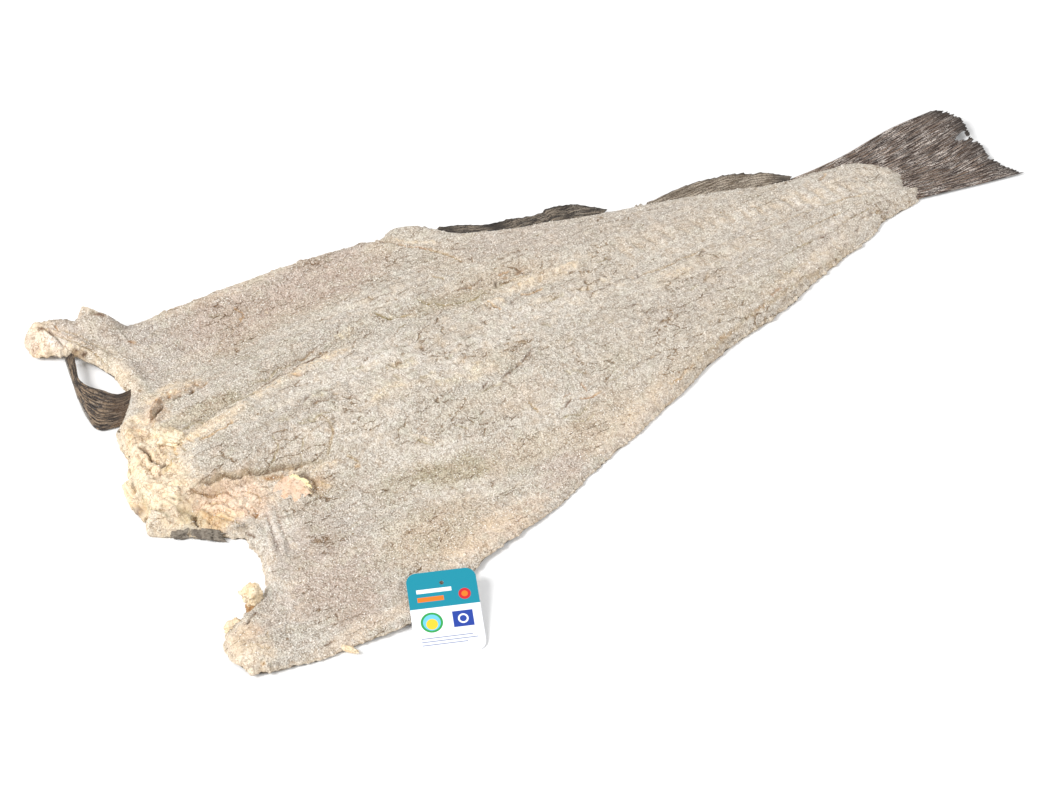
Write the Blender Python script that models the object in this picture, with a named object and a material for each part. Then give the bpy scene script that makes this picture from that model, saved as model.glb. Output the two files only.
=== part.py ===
"""A whole salted dried cod, split along the belly and opened flat, with its paper tag.

The fish lies on its skin with the flesh side up. It is drawn from the nape, at x = 0,
towards the tail, with y across the fish: the belly flap with the anal fins is at +y, and
the tag leans on the flap at -y. At the end everything is moved so that the origin is the
middle of the footprint, on the table. Units are metres, +Z is up.
"""

import math

import bmesh
import bpy
import numpy as np
from mathutils import Matrix, Vector, noise

# ---- driving sizes ----
FLESH_LENGTH = 0.68  # nape to the end of the flesh on the tail
HALF_WIDTH = 0.20  # middle line to the corner of a belly flap
CREST = 0.025  # thickest part of the loins

COLUMNS, ROWS = 54, 32  # quads of the flesh, along and across

TAG_WIDTH, TAG_LENGTH, TAG_THICKNESS = 0.048, 0.063, 0.0008
TAG_CORNER, TAG_HOLE = 0.0072, 0.0015  # corner radius and hole radius
TAG_HOLE_DROP = 0.0092  # from the top edge to the middle of the hole
TAG_FOOT = (0.130, -0.2355)  # middle of its lower edge, from the nape and across
TAG_TURN = -22.0  # degrees, in plan
GAP = 0.0004  # between the tag and the fish

# ---- heights that swell or curl the body ----
FLAP_CURL_LOW, FLAP_CURL_HIGH = 0.0026, 0.0045  # edges of the belly flaps, off the table
CORNER_CURL_LOW, CORNER_CURL_HIGH = 0.003, 0.005  # outer corners of the collar, off the table
COLLAR_RIDGE = 0.018  # muscle on the chopped collar at +y
NOTCH_RIM = 0.0040  # thick rims of the two bays
COLLAR_END = 0.0045  # the blunt collar end at -y
NAPE_SWELL = 0.0030
MEMBRANE = 0.0030  # fold along the backbone's place
BONE_BUMP, BONE_PITCH = 0.0016, 0.026  # the row of vertebrae towards the tail
LOW_SKIN = 0.0004  # lowest height of a loose scrap

# ---- the outline, as shares of FLESH_LENGTH and HALF_WIDTH ----
LOWER_SIDE = [
    (0.008, -0.910), (0.130, -0.980), (0.168, -1.000), (0.300, -0.858), (0.384, -0.790),
    (0.419, -0.737), (0.515, -0.628), (0.688, -0.417), (0.749, -0.378), (0.824, -0.287),
    (1.000, -0.098),
]
UPPER_SIDE = [
    (0.009, 0.930), (0.040, 0.905), (0.066, 0.855), (0.096, 0.792), (0.188, 0.812),
    (0.325, 0.798), (0.400, 0.762), (0.418, 0.745), (0.441, 0.780), (0.466, 0.760),
    (0.487, 0.690), (0.520, 0.605), (0.632, 0.470), (0.785, 0.335), (0.885, 0.218),
    (0.945, 0.175),
]
TAIL_EDGE = [
    (1.000, -0.098), (1.008, -0.055), (0.998, 0.010), (0.984, 0.090), (0.945, 0.175),
]
# the head end: two bays between the nape and the ends of the collar, in metres
LOWER_BAY = (-0.158, -0.022, 0.039, 0.061, 0.058)  # from, to, two ramps, depth
UPPER_BAY = (0.027, 0.188, 0.076, 0.070, 0.046)

NAPE_STEP = (0.016, 0.032, 0.025)  # depth, place across and width of the step beside the nape
CORNER_ROUNDING = 0.0055

# ---- lines on the flesh, as shares along, with a share across ----
SPINE_LINE = [
    (0.00, 0.02), (0.07, 0.10), (0.15, 0.19), (0.30, 0.26), (0.44, 0.25), (0.62, 0.18),
    (0.81, 0.12), (1.00, 0.09),
]
LOWER_LOIN = [
    (0.00, -0.22), (0.09, -0.14), (0.18, -0.20), (0.24, -0.28), (0.32, -0.31),
    (0.44, -0.36), (0.60, -0.40), (0.74, -0.34), (0.88, -0.19), (1.00, -0.10),
]
UPPER_LOIN = [
    (0.00, 0.30), (0.07, 0.35), (0.15, 0.37), (0.30, 0.48), (0.44, 0.49), (0.55, 0.43),
    (0.70, 0.33), (0.85, 0.21), (1.00, 0.15),
]
# ---- thickness, as shares along, with a share of CREST ----
LOIN_THICKNESS = [
    (0.00, 0.55), (0.10, 0.84), (0.25, 1.00), (0.45, 0.96), (0.65, 0.78), (0.85, 0.56),
    (1.00, 0.32),
]
EDGE_THICKNESS = [
    (0.00, 0.30), (0.12, 0.20), (0.30, 0.20), (0.42, 0.26), (0.55, 0.36), (0.80, 0.34),
    (1.00, 0.22),
]

# ---- fins: rows of points from root to tips, in metres from the nape and the middle line ----
TAIL_FIN = [
    [(0.630, -0.012, 0.0034), (0.640, 0.004, 0.0036), (0.628, 0.030, 0.0044)],
    [(0.678, -0.0215, 0.0022), (0.684, 0.006, 0.0036), (0.668, 0.046, 0.0058)],
    [(0.728, -0.0315, 0.0020), (0.724, 0.006, 0.0044), (0.712, 0.054, 0.0074)],
    [(0.779, -0.041, 0.0020), (0.767, -0.018, 0.0040), (0.764, 0.002, 0.0052),
     (0.760, 0.016, 0.0064), (0.768, 0.030, 0.0084), (0.760, 0.047, 0.0098)],
]
FRONT_ANAL_FIN = [
    [(0.326, 0.128, 0.0035), (0.365, 0.102, 0.0035), (0.405, 0.090, 0.0035), (0.452, 0.075, 0.0035)],
    [(0.330, 0.139, 0.0050), (0.372, 0.114, 0.0070), (0.414, 0.102, 0.0075), (0.452, 0.086, 0.0055)],
    [(0.334, 0.1415, 0.0055), (0.385, 0.115, 0.0085), (0.428, 0.106, 0.0105), (0.458, 0.0895, 0.0065)],
]
REAR_ANAL_FIN = [
    [(0.486, 0.070, 0.0035), (0.515, 0.060, 0.0035), (0.550, 0.048, 0.0035), (0.596, 0.033, 0.0035)],
    [(0.488, 0.078, 0.0050), (0.522, 0.071, 0.0060), (0.560, 0.062, 0.0065), (0.602, 0.044, 0.0050)],
    [(0.491, 0.0815, 0.0055), (0.532, 0.0800, 0.0075), (0.576, 0.0690, 0.0085), (0.609, 0.0475, 0.0060)],
]
# the pectoral fin leaves under the nape, curls up and runs round to the collar
PECTORAL_FIN = [
    [(0.050, 0.070, 0.0026), (0.054, 0.086, 0.0045), (0.056, 0.100, 0.0070)],
    [(0.026, 0.0735, 0.0021), (0.032, 0.086, 0.0034), (0.037, 0.098, 0.0080)],
    [(0.0125, 0.0775, 0.0020), (0.019, 0.092, 0.0042), (0.028, 0.106, 0.0105)],
    [(0.0100, 0.092, 0.0026), (0.014, 0.102, 0.0070), (0.020, 0.113, 0.0130)],
    [(0.0110, 0.110, 0.0055), (0.014, 0.117, 0.0092), (0.0175, 0.123, 0.0130)],
    [(0.0150, 0.133, 0.0085), (0.018, 0.136, 0.0102), (0.022, 0.139, 0.0118)],
    [(0.0185, 0.152, 0.0095), (0.022, 0.153, 0.0102), (0.026, 0.154, 0.0110)],
]
FIN_THICKNESS = {  # at the root and at the tips
    "tail": (0.0042, 0.0018), "anal": (0.0040, 0.0016), "pectoral": (0.0034, 0.0020),
}

# ---- loose ends: middle, half sizes, turns in degrees, how rough, how fine ----
SCRAPS = {
    "upright_flap": ((0.050, 0.172, 0.0155), (0.015, 0.0055, 0.0110), (16, 14, -30), 0.20, 2),
    "nape_stub": ((0.014, -0.006, 0.0060), (0.011, 0.017, 0.0060), (0, 0, -12), 0.15, 2),
    "skin_scrap": ((0.028, -0.046, 0.0042), (0.014, 0.007, 0.0042), (0, 0, -42), 0.25, 2),
    "notch_knob": ((0.036, -0.131, 0.0092), (0.0105, 0.0085, 0.0085), (0, 0, 10), 0.20, 2),
    "bone_sliver": ((0.0675, -0.1975, 0.0040), (0.0115, 0.0026, 0.0020), (0, 0, -48), 0.10, 1),
    "torn_flap": ((0.120, -0.036, 0.0115), (0.017, 0.008, 0.0050), (0, 0, -25), 0.20, 2),
}


def smooth_line(points, steps=10):
    """Points along a centripetal Catmull-Rom curve through the given ones, as an array."""
    p = np.asarray(points, float)
    p = np.vstack([2 * p[0] - p[1], p, 2 * p[-1] - p[-2]])
    line = []
    for a, b, c, d in zip(p, p[1:], p[2:], p[3:]):
        k = np.cumsum([0] + [np.linalg.norm(q) ** 0.5 for q in (b - a, c - b, d - c)])
        t = np.linspace(k[1], k[2], steps, endpoint=False)[:, None]

        def mix(first, second, low, high):
            return first + (second - first) * (t - low) / (high - low)

        ab, bc, cd = mix(a, b, k[0], k[1]), mix(b, c, k[1], k[2]), mix(c, d, k[2], k[3])
        before, after = mix(ab, bc, k[0], k[2]), mix(bc, cd, k[1], k[3])
        line.append(mix(before, after, k[1], k[2]))
    return np.vstack([*line, p[-2:-1]])


def table(points, x_scale, y_scale, key=0):
    """A smooth function through the points; key says which column it is read by."""
    line = smooth_line(points) * (x_scale, y_scale)
    order = np.argsort(line[:, key], kind="stable")
    return lambda at: float(np.interp(at, line[order, key], line[order, 1 - key]))


side_low = table(LOWER_SIDE, FLESH_LENGTH, HALF_WIDTH)
side_high = table(UPPER_SIDE, FLESH_LENGTH, HALF_WIDTH)
tail_edge = table(TAIL_EDGE, FLESH_LENGTH, HALF_WIDTH, key=1)
spine = table(SPINE_LINE, FLESH_LENGTH, HALF_WIDTH)
loin_low = table(LOWER_LOIN, FLESH_LENGTH, HALF_WIDTH)
loin_high = table(UPPER_LOIN, FLESH_LENGTH, HALF_WIDTH)
loin_thickness = table(LOIN_THICKNESS, FLESH_LENGTH, CREST)
edge_thickness = table(EDGE_THICKNESS, FLESH_LENGTH, CREST)


def ramp(low, high, x):
    """0 below low, 1 above high, smooth between."""
    t = min(1.0, max(0.0, (x - low) / (high - low)))
    return t * t * (3 - 2 * t)


def bump(distance, width):
    return math.exp(-((distance / width) ** 2))


def unevenness(x, y, size, seed=0.0):
    return noise.noise(Vector((x / size, y / size, seed)))


def bay(y, start, stop, ramp_in, ramp_out, depth):
    """A rounded cut: depth between start and stop, none outside."""
    return depth * ramp(start, start + ramp_in, y) * (1 - ramp(stop - ramp_out, stop, y))


def head_edge(y):
    """Where the flesh starts, seen along the fish; the collar's outer corners are rounded."""
    depth, across, width = NAPE_STEP
    corners = CORNER_ROUNDING * (bump(y + 0.182, 0.009) + bump(y - 0.186, 0.006))
    return bay(y, *LOWER_BAY) + bay(y, *UPPER_BAY) + depth * bump(y - across, width) + corners


# ---- the flesh ----
def plan_point(u, v):
    """The flesh in plan: share u from nape to tail, share v from the -y side to the +y side.

    The four outlines meet at the corners, and the inside is blended from them.
    """
    head_low, tail_low = (np.array(LOWER_SIDE[k]) * (FLESH_LENGTH, HALF_WIDTH) for k in (0, -1))
    head_high, tail_high = (np.array(UPPER_SIDE[k]) * (FLESH_LENGTH, HALF_WIDTH) for k in (0, -1))
    low_x, low_y = head_low + u * (tail_low - head_low)
    high_x, high_y = head_high + u * (tail_high - head_high)
    head_y = head_low[1] + v * (head_high - head_low)[1]
    tail_x, tail_y = tail_low + v * (tail_high - tail_low)
    head_x = head_low[0] + v * (head_high - head_low)[0]
    x = (1 - v) * low_x + v * high_x
    x += (1 - u) * (head_edge(head_y) - head_x) + u * (tail_edge(tail_y) - tail_x)
    y = (1 - u) * head_y + u * tail_y
    y += (1 - v) * (side_low(low_x) - low_y) + v * (side_high(high_x) - high_y)
    return x, y


def loin_shape(x, y):
    """0 on the thin belly flaps, 1 on the crest of a loin, less in the groove of the backbone."""
    middle = spine(x)
    soft = ramp(0.2, 0.55, x / FLESH_LENGTH)
    if y < middle:  # the step down to the flap is steep near the head
        s, crest = (middle - y) / (middle - loin_low(x)), 1.0
        fall = 1 - ramp(0.75 - 0.25 * soft, 1.10 + 0.45 * soft, s)
    else:  # this loin falls away gently
        s, crest = (y - middle) / (loin_high(x) - middle), 0.82
        fall = 1 - ramp(0.40, 1.75, s)
    groove = 0.38 * (1 - 0.6 * soft) * bump(s, 0.16)
    return (crest - groove) * fall


def lift(x, y):
    """How high the skin stands off the table: curled edges and collar corners."""
    to_low, to_high = y - side_low(x), side_high(x) - y
    share = x / FLESH_LENGTH
    low_flap = ramp(0.06, 0.16, share) * (1 - ramp(0.28, 0.42, share)) * bump(to_low, 0.022)
    high_flap = ramp(0.08, 0.16, share) * (1 - ramp(0.40, 0.52, share)) * bump(to_high, 0.024)
    curled = FLAP_CURL_LOW * low_flap + FLAP_CURL_HIGH * high_flap
    low_corner = CORNER_CURL_LOW * bump(math.hypot(x - 0.010, y + 0.165), 0.035)
    high_corner = CORNER_CURL_HIGH * bump(math.hypot(x - 0.025, y - 0.175), 0.036)
    return curled + low_corner + high_corner


def collar_height(x, y):
    """Extra thickness at the head end: the chopped collar with its muscle and the notch rims."""
    from_head = x - head_edge(y)
    ridge = COLLAR_RIDGE * ramp(0.146, 0.182, y) * (1 - ramp(0.020, 0.085, x))
    notches = bump(y - 0.110, 0.042) + bump(y + 0.100, 0.042)
    rims = NOTCH_RIM * notches * bump(from_head - 0.007, 0.009)
    lower_end = COLLAR_END * bump(math.hypot(x - 0.016, y + 0.170), 0.026)
    nape = NAPE_SWELL * bump(y + 0.005, 0.045) * bump(from_head - 0.014, 0.014)
    return ridge + rims + lower_end + nape


def flesh_height(x, y):
    """Thickness of the fish at a place."""
    edge, crest, share = edge_thickness(x), loin_thickness(x), x / FLESH_LENGTH
    z = edge + (crest - edge) * loin_shape(x, y) + collar_height(x, y)
    membrane = bump(y - spine(x), 0.006) * ramp(0.07, 0.12, share) * (1 - ramp(0.40, 0.50, share))
    bones = bump(y - spine(x), 0.010) * ramp(0.50, 0.60, share) * (1 - ramp(0.92, 0.98, share))
    z += MEMBRANE * membrane
    z += BONE_BUMP * bones * (1 + 0.6 * math.cos(2 * math.pi * x / BONE_PITCH))
    z += 0.0012 * unevenness(x, y, 0.045) + 0.0008 * unevenness(x, y, 0.019, 3.0)
    sides = min(y - side_low(x), side_high(x) - y, x - head_edge(y))
    return z * (1 - 0.22 * bump(sides, 0.004))


def flesh_mesh():
    """The opened body: a grid over the outline, its copy underneath and a rounded rim."""
    mesh = bmesh.new()
    top, bottom = {}, {}
    for i in range(COLUMNS + 1):
        u = i / COLUMNS
        for j in range(ROWS + 1):
            v = 0.6 * j / ROWS + 0.2 * (1 - math.cos(math.pi * j / ROWS))
            x, y = plan_point(u, v)
            low = lift(x, y)
            top[i, j] = mesh.verts.new((x, y, low + flesh_height(x, y)))
            bottom[i, j] = mesh.verts.new((x, y, low))
    for i in range(COLUMNS):
        for j in range(ROWS):
            around = [(i, j), (i + 1, j), (i + 1, j + 1), (i, j + 1)]
            mesh.faces.new([top[k] for k in around])
            mesh.faces.new([bottom[k] for k in reversed(around)])
    border = [(i, 0) for i in range(COLUMNS)] + [(COLUMNS, j) for j in range(ROWS)]
    border += [(COLUMNS - i, ROWS) for i in range(COLUMNS)] + [(0, ROWS - j) for j in range(ROWS)]
    belt = []
    for n, key in enumerate(border):
        before, after = top[border[n - 1]].co, top[border[(n + 1) % len(border)]].co
        out = Vector((after.y - before.y, before.x - after.x, 0)).normalized()
        middle = (top[key].co + bottom[key].co) / 2
        proud = 0.0016 + 0.0009 * unevenness(middle.x, middle.y, 0.011, 7.0)
        belt.append(mesh.verts.new(middle + out * proud))
    for n, key in enumerate(border):
        m = (n + 1) % len(border)
        mesh.faces.new((top[key], belt[n], belt[m], top[border[m]]))
        mesh.faces.new((belt[n], bottom[key], bottom[border[m]], belt[m]))
    bmesh.ops.recalc_face_normals(mesh, faces=mesh.faces)
    return mesh


# ---- fins: thin blades lofted through rows of points, root first ----
def resampled(line, at):
    """Points on a line of points, at shares of its count."""
    own = np.linspace(0, 1, len(line))
    return np.stack([np.interp(at, own, line[:, axis]) for axis in range(3)], 1)


def blade_mesh(rows, thickness, across, along, rays=0, ray_height=0.0, ragged=0.0):
    """A thin closed sheet through the rows. thickness is (at the root, at the tips)."""
    lines = [smooth_line(row) for row in rows]
    spread = np.linspace(0, 1, across + 1)
    even = [resampled(line, spread) for line in lines]
    sheet = np.zeros((along + 1, across + 1, 3))
    for j in range(across + 1):
        rib = smooth_line([line[j] for line in even])
        reach = 1 + ragged * noise.noise(Vector((j * 0.9, 5.0, 0.0)))
        sheet[:, j] = resampled(rib, np.linspace(0, 1, along + 1) * reach)
    du, dv = np.gradient(sheet, axis=0), np.gradient(sheet, axis=1)
    normal = np.cross(du, dv)
    normal /= np.linalg.norm(normal, axis=2)[:, :, None]
    mesh = bmesh.new()
    faces = []
    for side in (1, -1):
        for i in range(along + 1):
            for j in range(across + 1):
                t = thickness[0] + (thickness[1] - thickness[0]) * i / along
                t += ray_height * math.cos(2 * math.pi * rays * j / across) * ramp(0, 0.3, i / along)
                mesh.verts.new(sheet[i, j] + normal[i, j] * side * t / 2)
    mesh.verts.ensure_lookup_table()

    def index(side, i, j):
        return side * (along + 1) * (across + 1) + i * (across + 1) + j

    for i in range(along):
        for j in range(across):
            around = [(i, j), (i + 1, j), (i + 1, j + 1), (i, j + 1)]
            faces.append([index(0, *k) for k in around])
            faces.append([index(1, *k) for k in reversed(around)])
    border = [(i, 0) for i in range(along)] + [(along, j) for j in range(across)]
    border += [(along - i, across) for i in range(along)] + [(0, across - j) for j in range(across)]
    for n, key in enumerate(border):
        after = border[(n + 1) % len(border)]
        faces.append([index(0, *key), index(1, *key), index(1, *after), index(0, *after)])
    for face in faces:
        mesh.faces.new([mesh.verts[k] for k in face])
    bmesh.ops.recalc_face_normals(mesh, faces=mesh.faces)
    return mesh


def fins():
    """The tail, the two fins left on the belly edge at +y, and the pectoral fin."""
    tail = blade_mesh(TAIL_FIN, FIN_THICKNESS["tail"], 30, 10, 10, 0.0004, 0.010)
    front = blade_mesh(FRONT_ANAL_FIN, FIN_THICKNESS["anal"], 20, 5, 6, 0.0003, 0.03)
    rear = blade_mesh(REAR_ANAL_FIN, FIN_THICKNESS["anal"], 20, 5, 6, 0.0003, 0.03)
    return [tail, front, rear, blade_mesh(PECTORAL_FIN, FIN_THICKNESS["pectoral"], 8, 26)]


# ---- loose ends of skin, bone and flesh ----
def lump_mesh(middle, size, turn=(0, 0, 0), rough=0.12, detail=2, seed=0.0):
    """A rounded scrap: a sphere stretched, roughened and turned. turn is in degrees."""
    mesh = bmesh.new()
    bmesh.ops.create_icosphere(mesh, subdivisions=detail, radius=1.0)
    place = Matrix.LocRotScale(Vector(middle), None, None)
    for axis, angle in zip("XYZ", turn):
        place = place @ Matrix.Rotation(math.radians(angle), 4, axis)
    for vert in mesh.verts:
        grow = 1 + rough * noise.noise(vert.co * 1.7 + Vector((seed, 0, 0)))
        box = Vector(math.copysign(abs(k) ** 0.75, k) for k in vert.co)
        vert.co = place @ Vector(a * b * grow for a, b in zip(box, size))
        vert.co.z = max(vert.co.z, LOW_SKIN)
    return mesh


def scraps():
    """The rounded lumps of SCRAPS, each roughened in its own way."""
    return [lump_mesh(*values, seed=2.0 + n) for n, values in enumerate(SCRAPS.values())]


# ---- the tag ----
def tag_mesh():
    """A card with round corners and a hole near its top edge, flat, centred on the origin."""
    mesh = bmesh.new()
    outline = []
    for quarter, (sx, sy) in enumerate([(1, 1), (-1, 1), (-1, -1), (1, -1)]):
        middle = Vector((sx * (TAG_WIDTH / 2 - TAG_CORNER), sy * (TAG_LENGTH / 2 - TAG_CORNER), 0))
        for step in range(7):
            angle = math.radians(90 * quarter + 15 * step)
            outline.append(middle + TAG_CORNER * Vector((math.cos(angle), math.sin(angle), 0)))
    hole_at = Vector((0.0, TAG_LENGTH / 2 - TAG_HOLE_DROP, 0))
    sides = 16
    hole = [hole_at + TAG_HOLE * Vector((math.cos(a), math.sin(a), 0))
            for a in (2 * math.pi * k / sides for k in range(sides))]
    edges = []
    for loop in (outline, hole):
        verts = [mesh.verts.new(p - Vector((0, 0, TAG_THICKNESS / 2))) for p in loop]
        edges += [mesh.edges.new((verts[k - 1], verts[k])) for k in range(len(verts))]
    bmesh.ops.triangle_fill(mesh, use_beauty=True, edges=edges)
    lifted = bmesh.ops.extrude_face_region(mesh, geom=mesh.faces[:])["geom"]
    bmesh.ops.translate(
        mesh, vec=(0, 0, TAG_THICKNESS), verts=[g for g in lifted if isinstance(g, bmesh.types.BMVert)]
    )
    bmesh.ops.recalc_face_normals(mesh, faces=mesh.faces)
    return mesh


# ---- objects ----
def material(name, colour, roughness):
    made = bpy.data.materials.new(name)
    made.use_nodes = True
    shader = made.node_tree.nodes["Principled BSDF"]
    shader.inputs["Base Color"].default_value = (*colour, 1.0)
    shader.inputs["Roughness"].default_value = roughness
    made.diffuse_color = (*colour, 1.0)
    return made


def add_object(name, mesh, finish, smooth=True):
    data = bpy.data.meshes.new(name)
    mesh.to_mesh(data)
    mesh.free()
    data.materials.append(finish)
    if smooth:
        data.shade_smooth()
    made = bpy.data.objects.new(name, data)
    bpy.context.scene.collection.objects.link(made)
    return made


def join_all(body, pieces):
    """Makes one solid of the body and its pieces, one Boolean union at a time."""
    for piece in pieces:
        union = body.modifiers.new(piece.name, "BOOLEAN")
        union.operation = "UNION"
        union.solver = "EXACT"
        union.object = piece
        bpy.context.view_layer.objects.active = body
        bpy.ops.object.modifier_apply(modifier=union.name)
        bpy.data.objects.remove(piece)


def fish(finish):
    """The body with its fins and loose ends, one closed solid."""
    body = add_object("cod", flesh_mesh(), finish)
    loose = [*fins(), *scraps()]
    join_all(body, [add_object(f"piece_{n}", mesh, finish) for n, mesh in enumerate(loose)])
    body.data.set_sharp_from_angle(angle=math.radians(50))
    return body


def tag(finish, body):
    """The card stands on its lower edge and leans back until it rests on the belly flap."""
    made = add_object("tag", tag_mesh(), finish, smooth=False)
    foot = Matrix.Translation((*TAG_FOOT, 0)) @ Matrix.Rotation(math.radians(TAG_TURN), 4, "Z")
    lean = 0.0
    for vert in body.data.vertices:
        near = foot.inverted() @ vert.co
        if abs(near.x) < 0.6 * TAG_WIDTH and 0 < near.y < 1.15 * TAG_LENGTH:
            lean = max(lean, math.atan2(near.z + GAP, near.y))
    hinge = Matrix.Rotation(lean, 4, "X") @ Matrix.Translation((0, TAG_LENGTH / 2, TAG_THICKNESS / 2))
    made.data.transform(foot @ hinge)
    print(f"tag leans {math.degrees(lean):.1f} degrees")
    return made


def stand_on_origin(objects):
    """Puts the middle of the footprint, on the table, at the origin."""
    points = np.array([v.co for o in objects for v in o.data.vertices])
    low, high = points.min(0), points.max(0)
    move = Matrix.Translation((-(low[0] + high[0]) / 2, -(low[1] + high[1]) / 2, -low[2]))
    for o in objects:
        o.data.transform(move)


def main():
    for old in list(bpy.data.objects):
        bpy.data.objects.remove(old)
    dried_flesh = material("dried_flesh", (0.66, 0.59, 0.48), 0.85)
    card = material("card", (0.80, 0.80, 0.82), 0.55)
    body = fish(dried_flesh)
    stand_on_origin([body, tag(card, body)])


main()
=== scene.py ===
import math

import bpy
import numpy as np
from mathutils import Matrix, Vector, kdtree, noise


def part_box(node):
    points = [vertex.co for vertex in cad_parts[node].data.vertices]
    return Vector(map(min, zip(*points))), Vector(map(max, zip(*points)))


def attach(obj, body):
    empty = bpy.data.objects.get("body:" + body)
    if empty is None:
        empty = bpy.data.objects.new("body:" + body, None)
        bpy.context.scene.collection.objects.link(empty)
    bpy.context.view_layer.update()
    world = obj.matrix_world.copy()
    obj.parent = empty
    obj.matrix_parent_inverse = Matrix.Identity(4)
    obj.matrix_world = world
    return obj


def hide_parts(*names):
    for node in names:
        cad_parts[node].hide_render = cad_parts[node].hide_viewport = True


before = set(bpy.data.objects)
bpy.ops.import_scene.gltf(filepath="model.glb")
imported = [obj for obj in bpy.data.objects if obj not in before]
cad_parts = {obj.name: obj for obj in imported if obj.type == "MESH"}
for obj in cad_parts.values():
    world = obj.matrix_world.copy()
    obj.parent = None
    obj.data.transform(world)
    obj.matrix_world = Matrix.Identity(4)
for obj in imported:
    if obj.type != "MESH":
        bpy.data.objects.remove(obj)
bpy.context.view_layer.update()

# A whole salted dried cod, split and opened with the flesh up, and the paper tag that leans
# on its belly flap. Fish places are measured from the nape, towards the tail and across.
low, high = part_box("cod")
napeInset = (0.00128, 0.18777)  # from the cod's foremost end and from its far side
nape = Vector((low.x + napeInset[0], high.y - napeInset[1], 0))
mm = 0.001

bpy.ops.object.select_all(action="DESELECT")
bpy.context.scene.view_settings.view_transform = "Standard"


# shapes of numbers, for single values and for whole arrays
def ramp(start, stop, x):
    t = np.clip((x - start) / (stop - start), 0, 1)
    return t * t * (3 - 2 * t)


def span(rise, risen, fall, fallen, x):
    # 1 from risen to fall, 0 before rise and after fallen
    return ramp(rise, risen, x) * (1 - ramp(fall, fallen, x))


def bump(distance, width):
    return np.exp(-((distance / width) ** 2))


def clouds(x, y, size, seed=0.0, octaves=3):
    # soft unevenness over the plan, about -1 to 1
    spots = zip(x / size, y / size)
    return np.array([noise.fractal(Vector((a, b, seed)), 1.0, 2.0, octaves) for a, b in spots])


def ridges(x, y, size, seed=0.0):
    # sharp crests with round hollows between, about 0 to 1
    spots = zip(x / size, y / size)
    return np.array([1 - abs(noise.fractal(Vector((a, b, seed)), 0.9, 2.1, 3)) for a, b in spots])


shuffle = (127.1, 311.7, 43758.5)  # any large odd numbers: they give each flake a height of its own


def plates(x, y, size, seed=0.0):
    # flat flakes at heights of their own, -1 to 1, that meet in soft joints
    level = np.empty(len(x))
    for number, (a, b) in enumerate(zip(x / size, y / size)):
        distances, centres = noise.voronoi(Vector((a, b, seed)))
        own = math.sin(shuffle[0] * centres[0].x + shuffle[1] * centres[0].y) * shuffle[2]
        level[number] = (2 * (own - math.floor(own)) - 1) * min(1, 6 * (distances[1] - distances[0]))
    return level


def smoothLine(points, steps=12):
    # centripetal Catmull-Rom curve through the points
    p = np.asarray(points, float)
    p = np.vstack([2 * p[0] - p[1], p, 2 * p[-1] - p[-2]])
    line = []
    for a, b, c, d in zip(p, p[1:], p[2:], p[3:]):
        k = np.cumsum([0] + [np.linalg.norm(q) ** 0.5 for q in (b - a, c - b, d - c)])
        t = np.linspace(k[1], k[2], steps, endpoint=False)[:, None]

        def blend(first, second, start, stop):
            return first + (second - first) * (t - start) / (stop - start)

        ab, bc, cd = blend(a, b, k[0], k[1]), blend(b, c, k[1], k[2]), blend(c, d, k[2], k[3])
        line.append(blend(blend(ab, bc, k[0], k[2]), blend(bc, cd, k[1], k[3]), k[1], k[2]))
    return np.vstack([*line, p[-2:-1]])


# the fish's measures, the same as its solid's: shares of the length, then of the half width or crest
body = {
    "length": 0.68, "halfWidth": 0.20, "crest": 0.025,
    "lowerSide": [(0.008, -0.922), (0.065, -0.968), (0.130, -0.992), (0.168, -1.000), (0.300, -0.858),
                  (0.384, -0.790), (0.419, -0.737), (0.515, -0.628), (0.688, -0.417), (0.749, -0.378),
                  (0.824, -0.287), (0.912, -0.200), (0.956, -0.142), (0.985, -0.130), (1.000, -0.122)],
    "upperSide": [(0.009, 0.930), (0.040, 0.905), (0.070, 0.872), (0.098, 0.808), (0.188, 0.812),
                  (0.325, 0.798), (0.400, 0.762), (0.418, 0.745), (0.441, 0.780), (0.466, 0.760),
                  (0.487, 0.690), (0.520, 0.605), (0.632, 0.470), (0.785, 0.335), (0.880, 0.232),
                  (0.930, 0.214), (0.963, 0.205)],
    "tailEdge": [(1.000, -0.122), (1.009, -0.095), (1.014, -0.062), (1.002, -0.040), (1.006, -0.010),
                 (1.011, 0.030), (1.006, 0.075), (0.995, 0.120), (0.982, 0.170), (0.963, 0.205)],
    "spine": [(0.00, 0.02), (0.07, 0.10), (0.15, 0.19), (0.30, 0.26), (0.44, 0.25), (0.62, 0.18),
              (0.81, 0.12), (1.00, 0.09)],
    "lowerLoin": [(0.00, -0.22), (0.09, -0.14), (0.18, -0.20), (0.24, -0.28), (0.32, -0.31),
                  (0.44, -0.36), (0.60, -0.40), (0.74, -0.34), (0.88, -0.19), (1.00, -0.10)],
    "upperLoin": [(0.00, 0.30), (0.07, 0.35), (0.15, 0.37), (0.30, 0.48), (0.44, 0.49),
                  (0.55, 0.43), (0.70, 0.33), (0.85, 0.21), (1.00, 0.15)],
    "loinThickness": [(0.00, 0.55), (0.10, 0.84), (0.25, 1.00), (0.45, 0.96), (0.65, 0.78),
                      (0.85, 0.56), (1.00, 0.32)],
    "edgeThickness": [(0.00, 0.30), (0.12, 0.20), (0.30, 0.20), (0.42, 0.26), (0.55, 0.36),
                      (0.80, 0.34), (1.00, 0.22)],
}


def follow(name, scale, key=0):
    # the named line as a function, read by its first or its second column
    line = smoothLine(body[name]) * (body["length"], scale)
    line = line[np.argsort(line[:, key], kind="stable")]
    return lambda at: np.interp(at, line[:, key], line[:, 1 - key])


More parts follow.
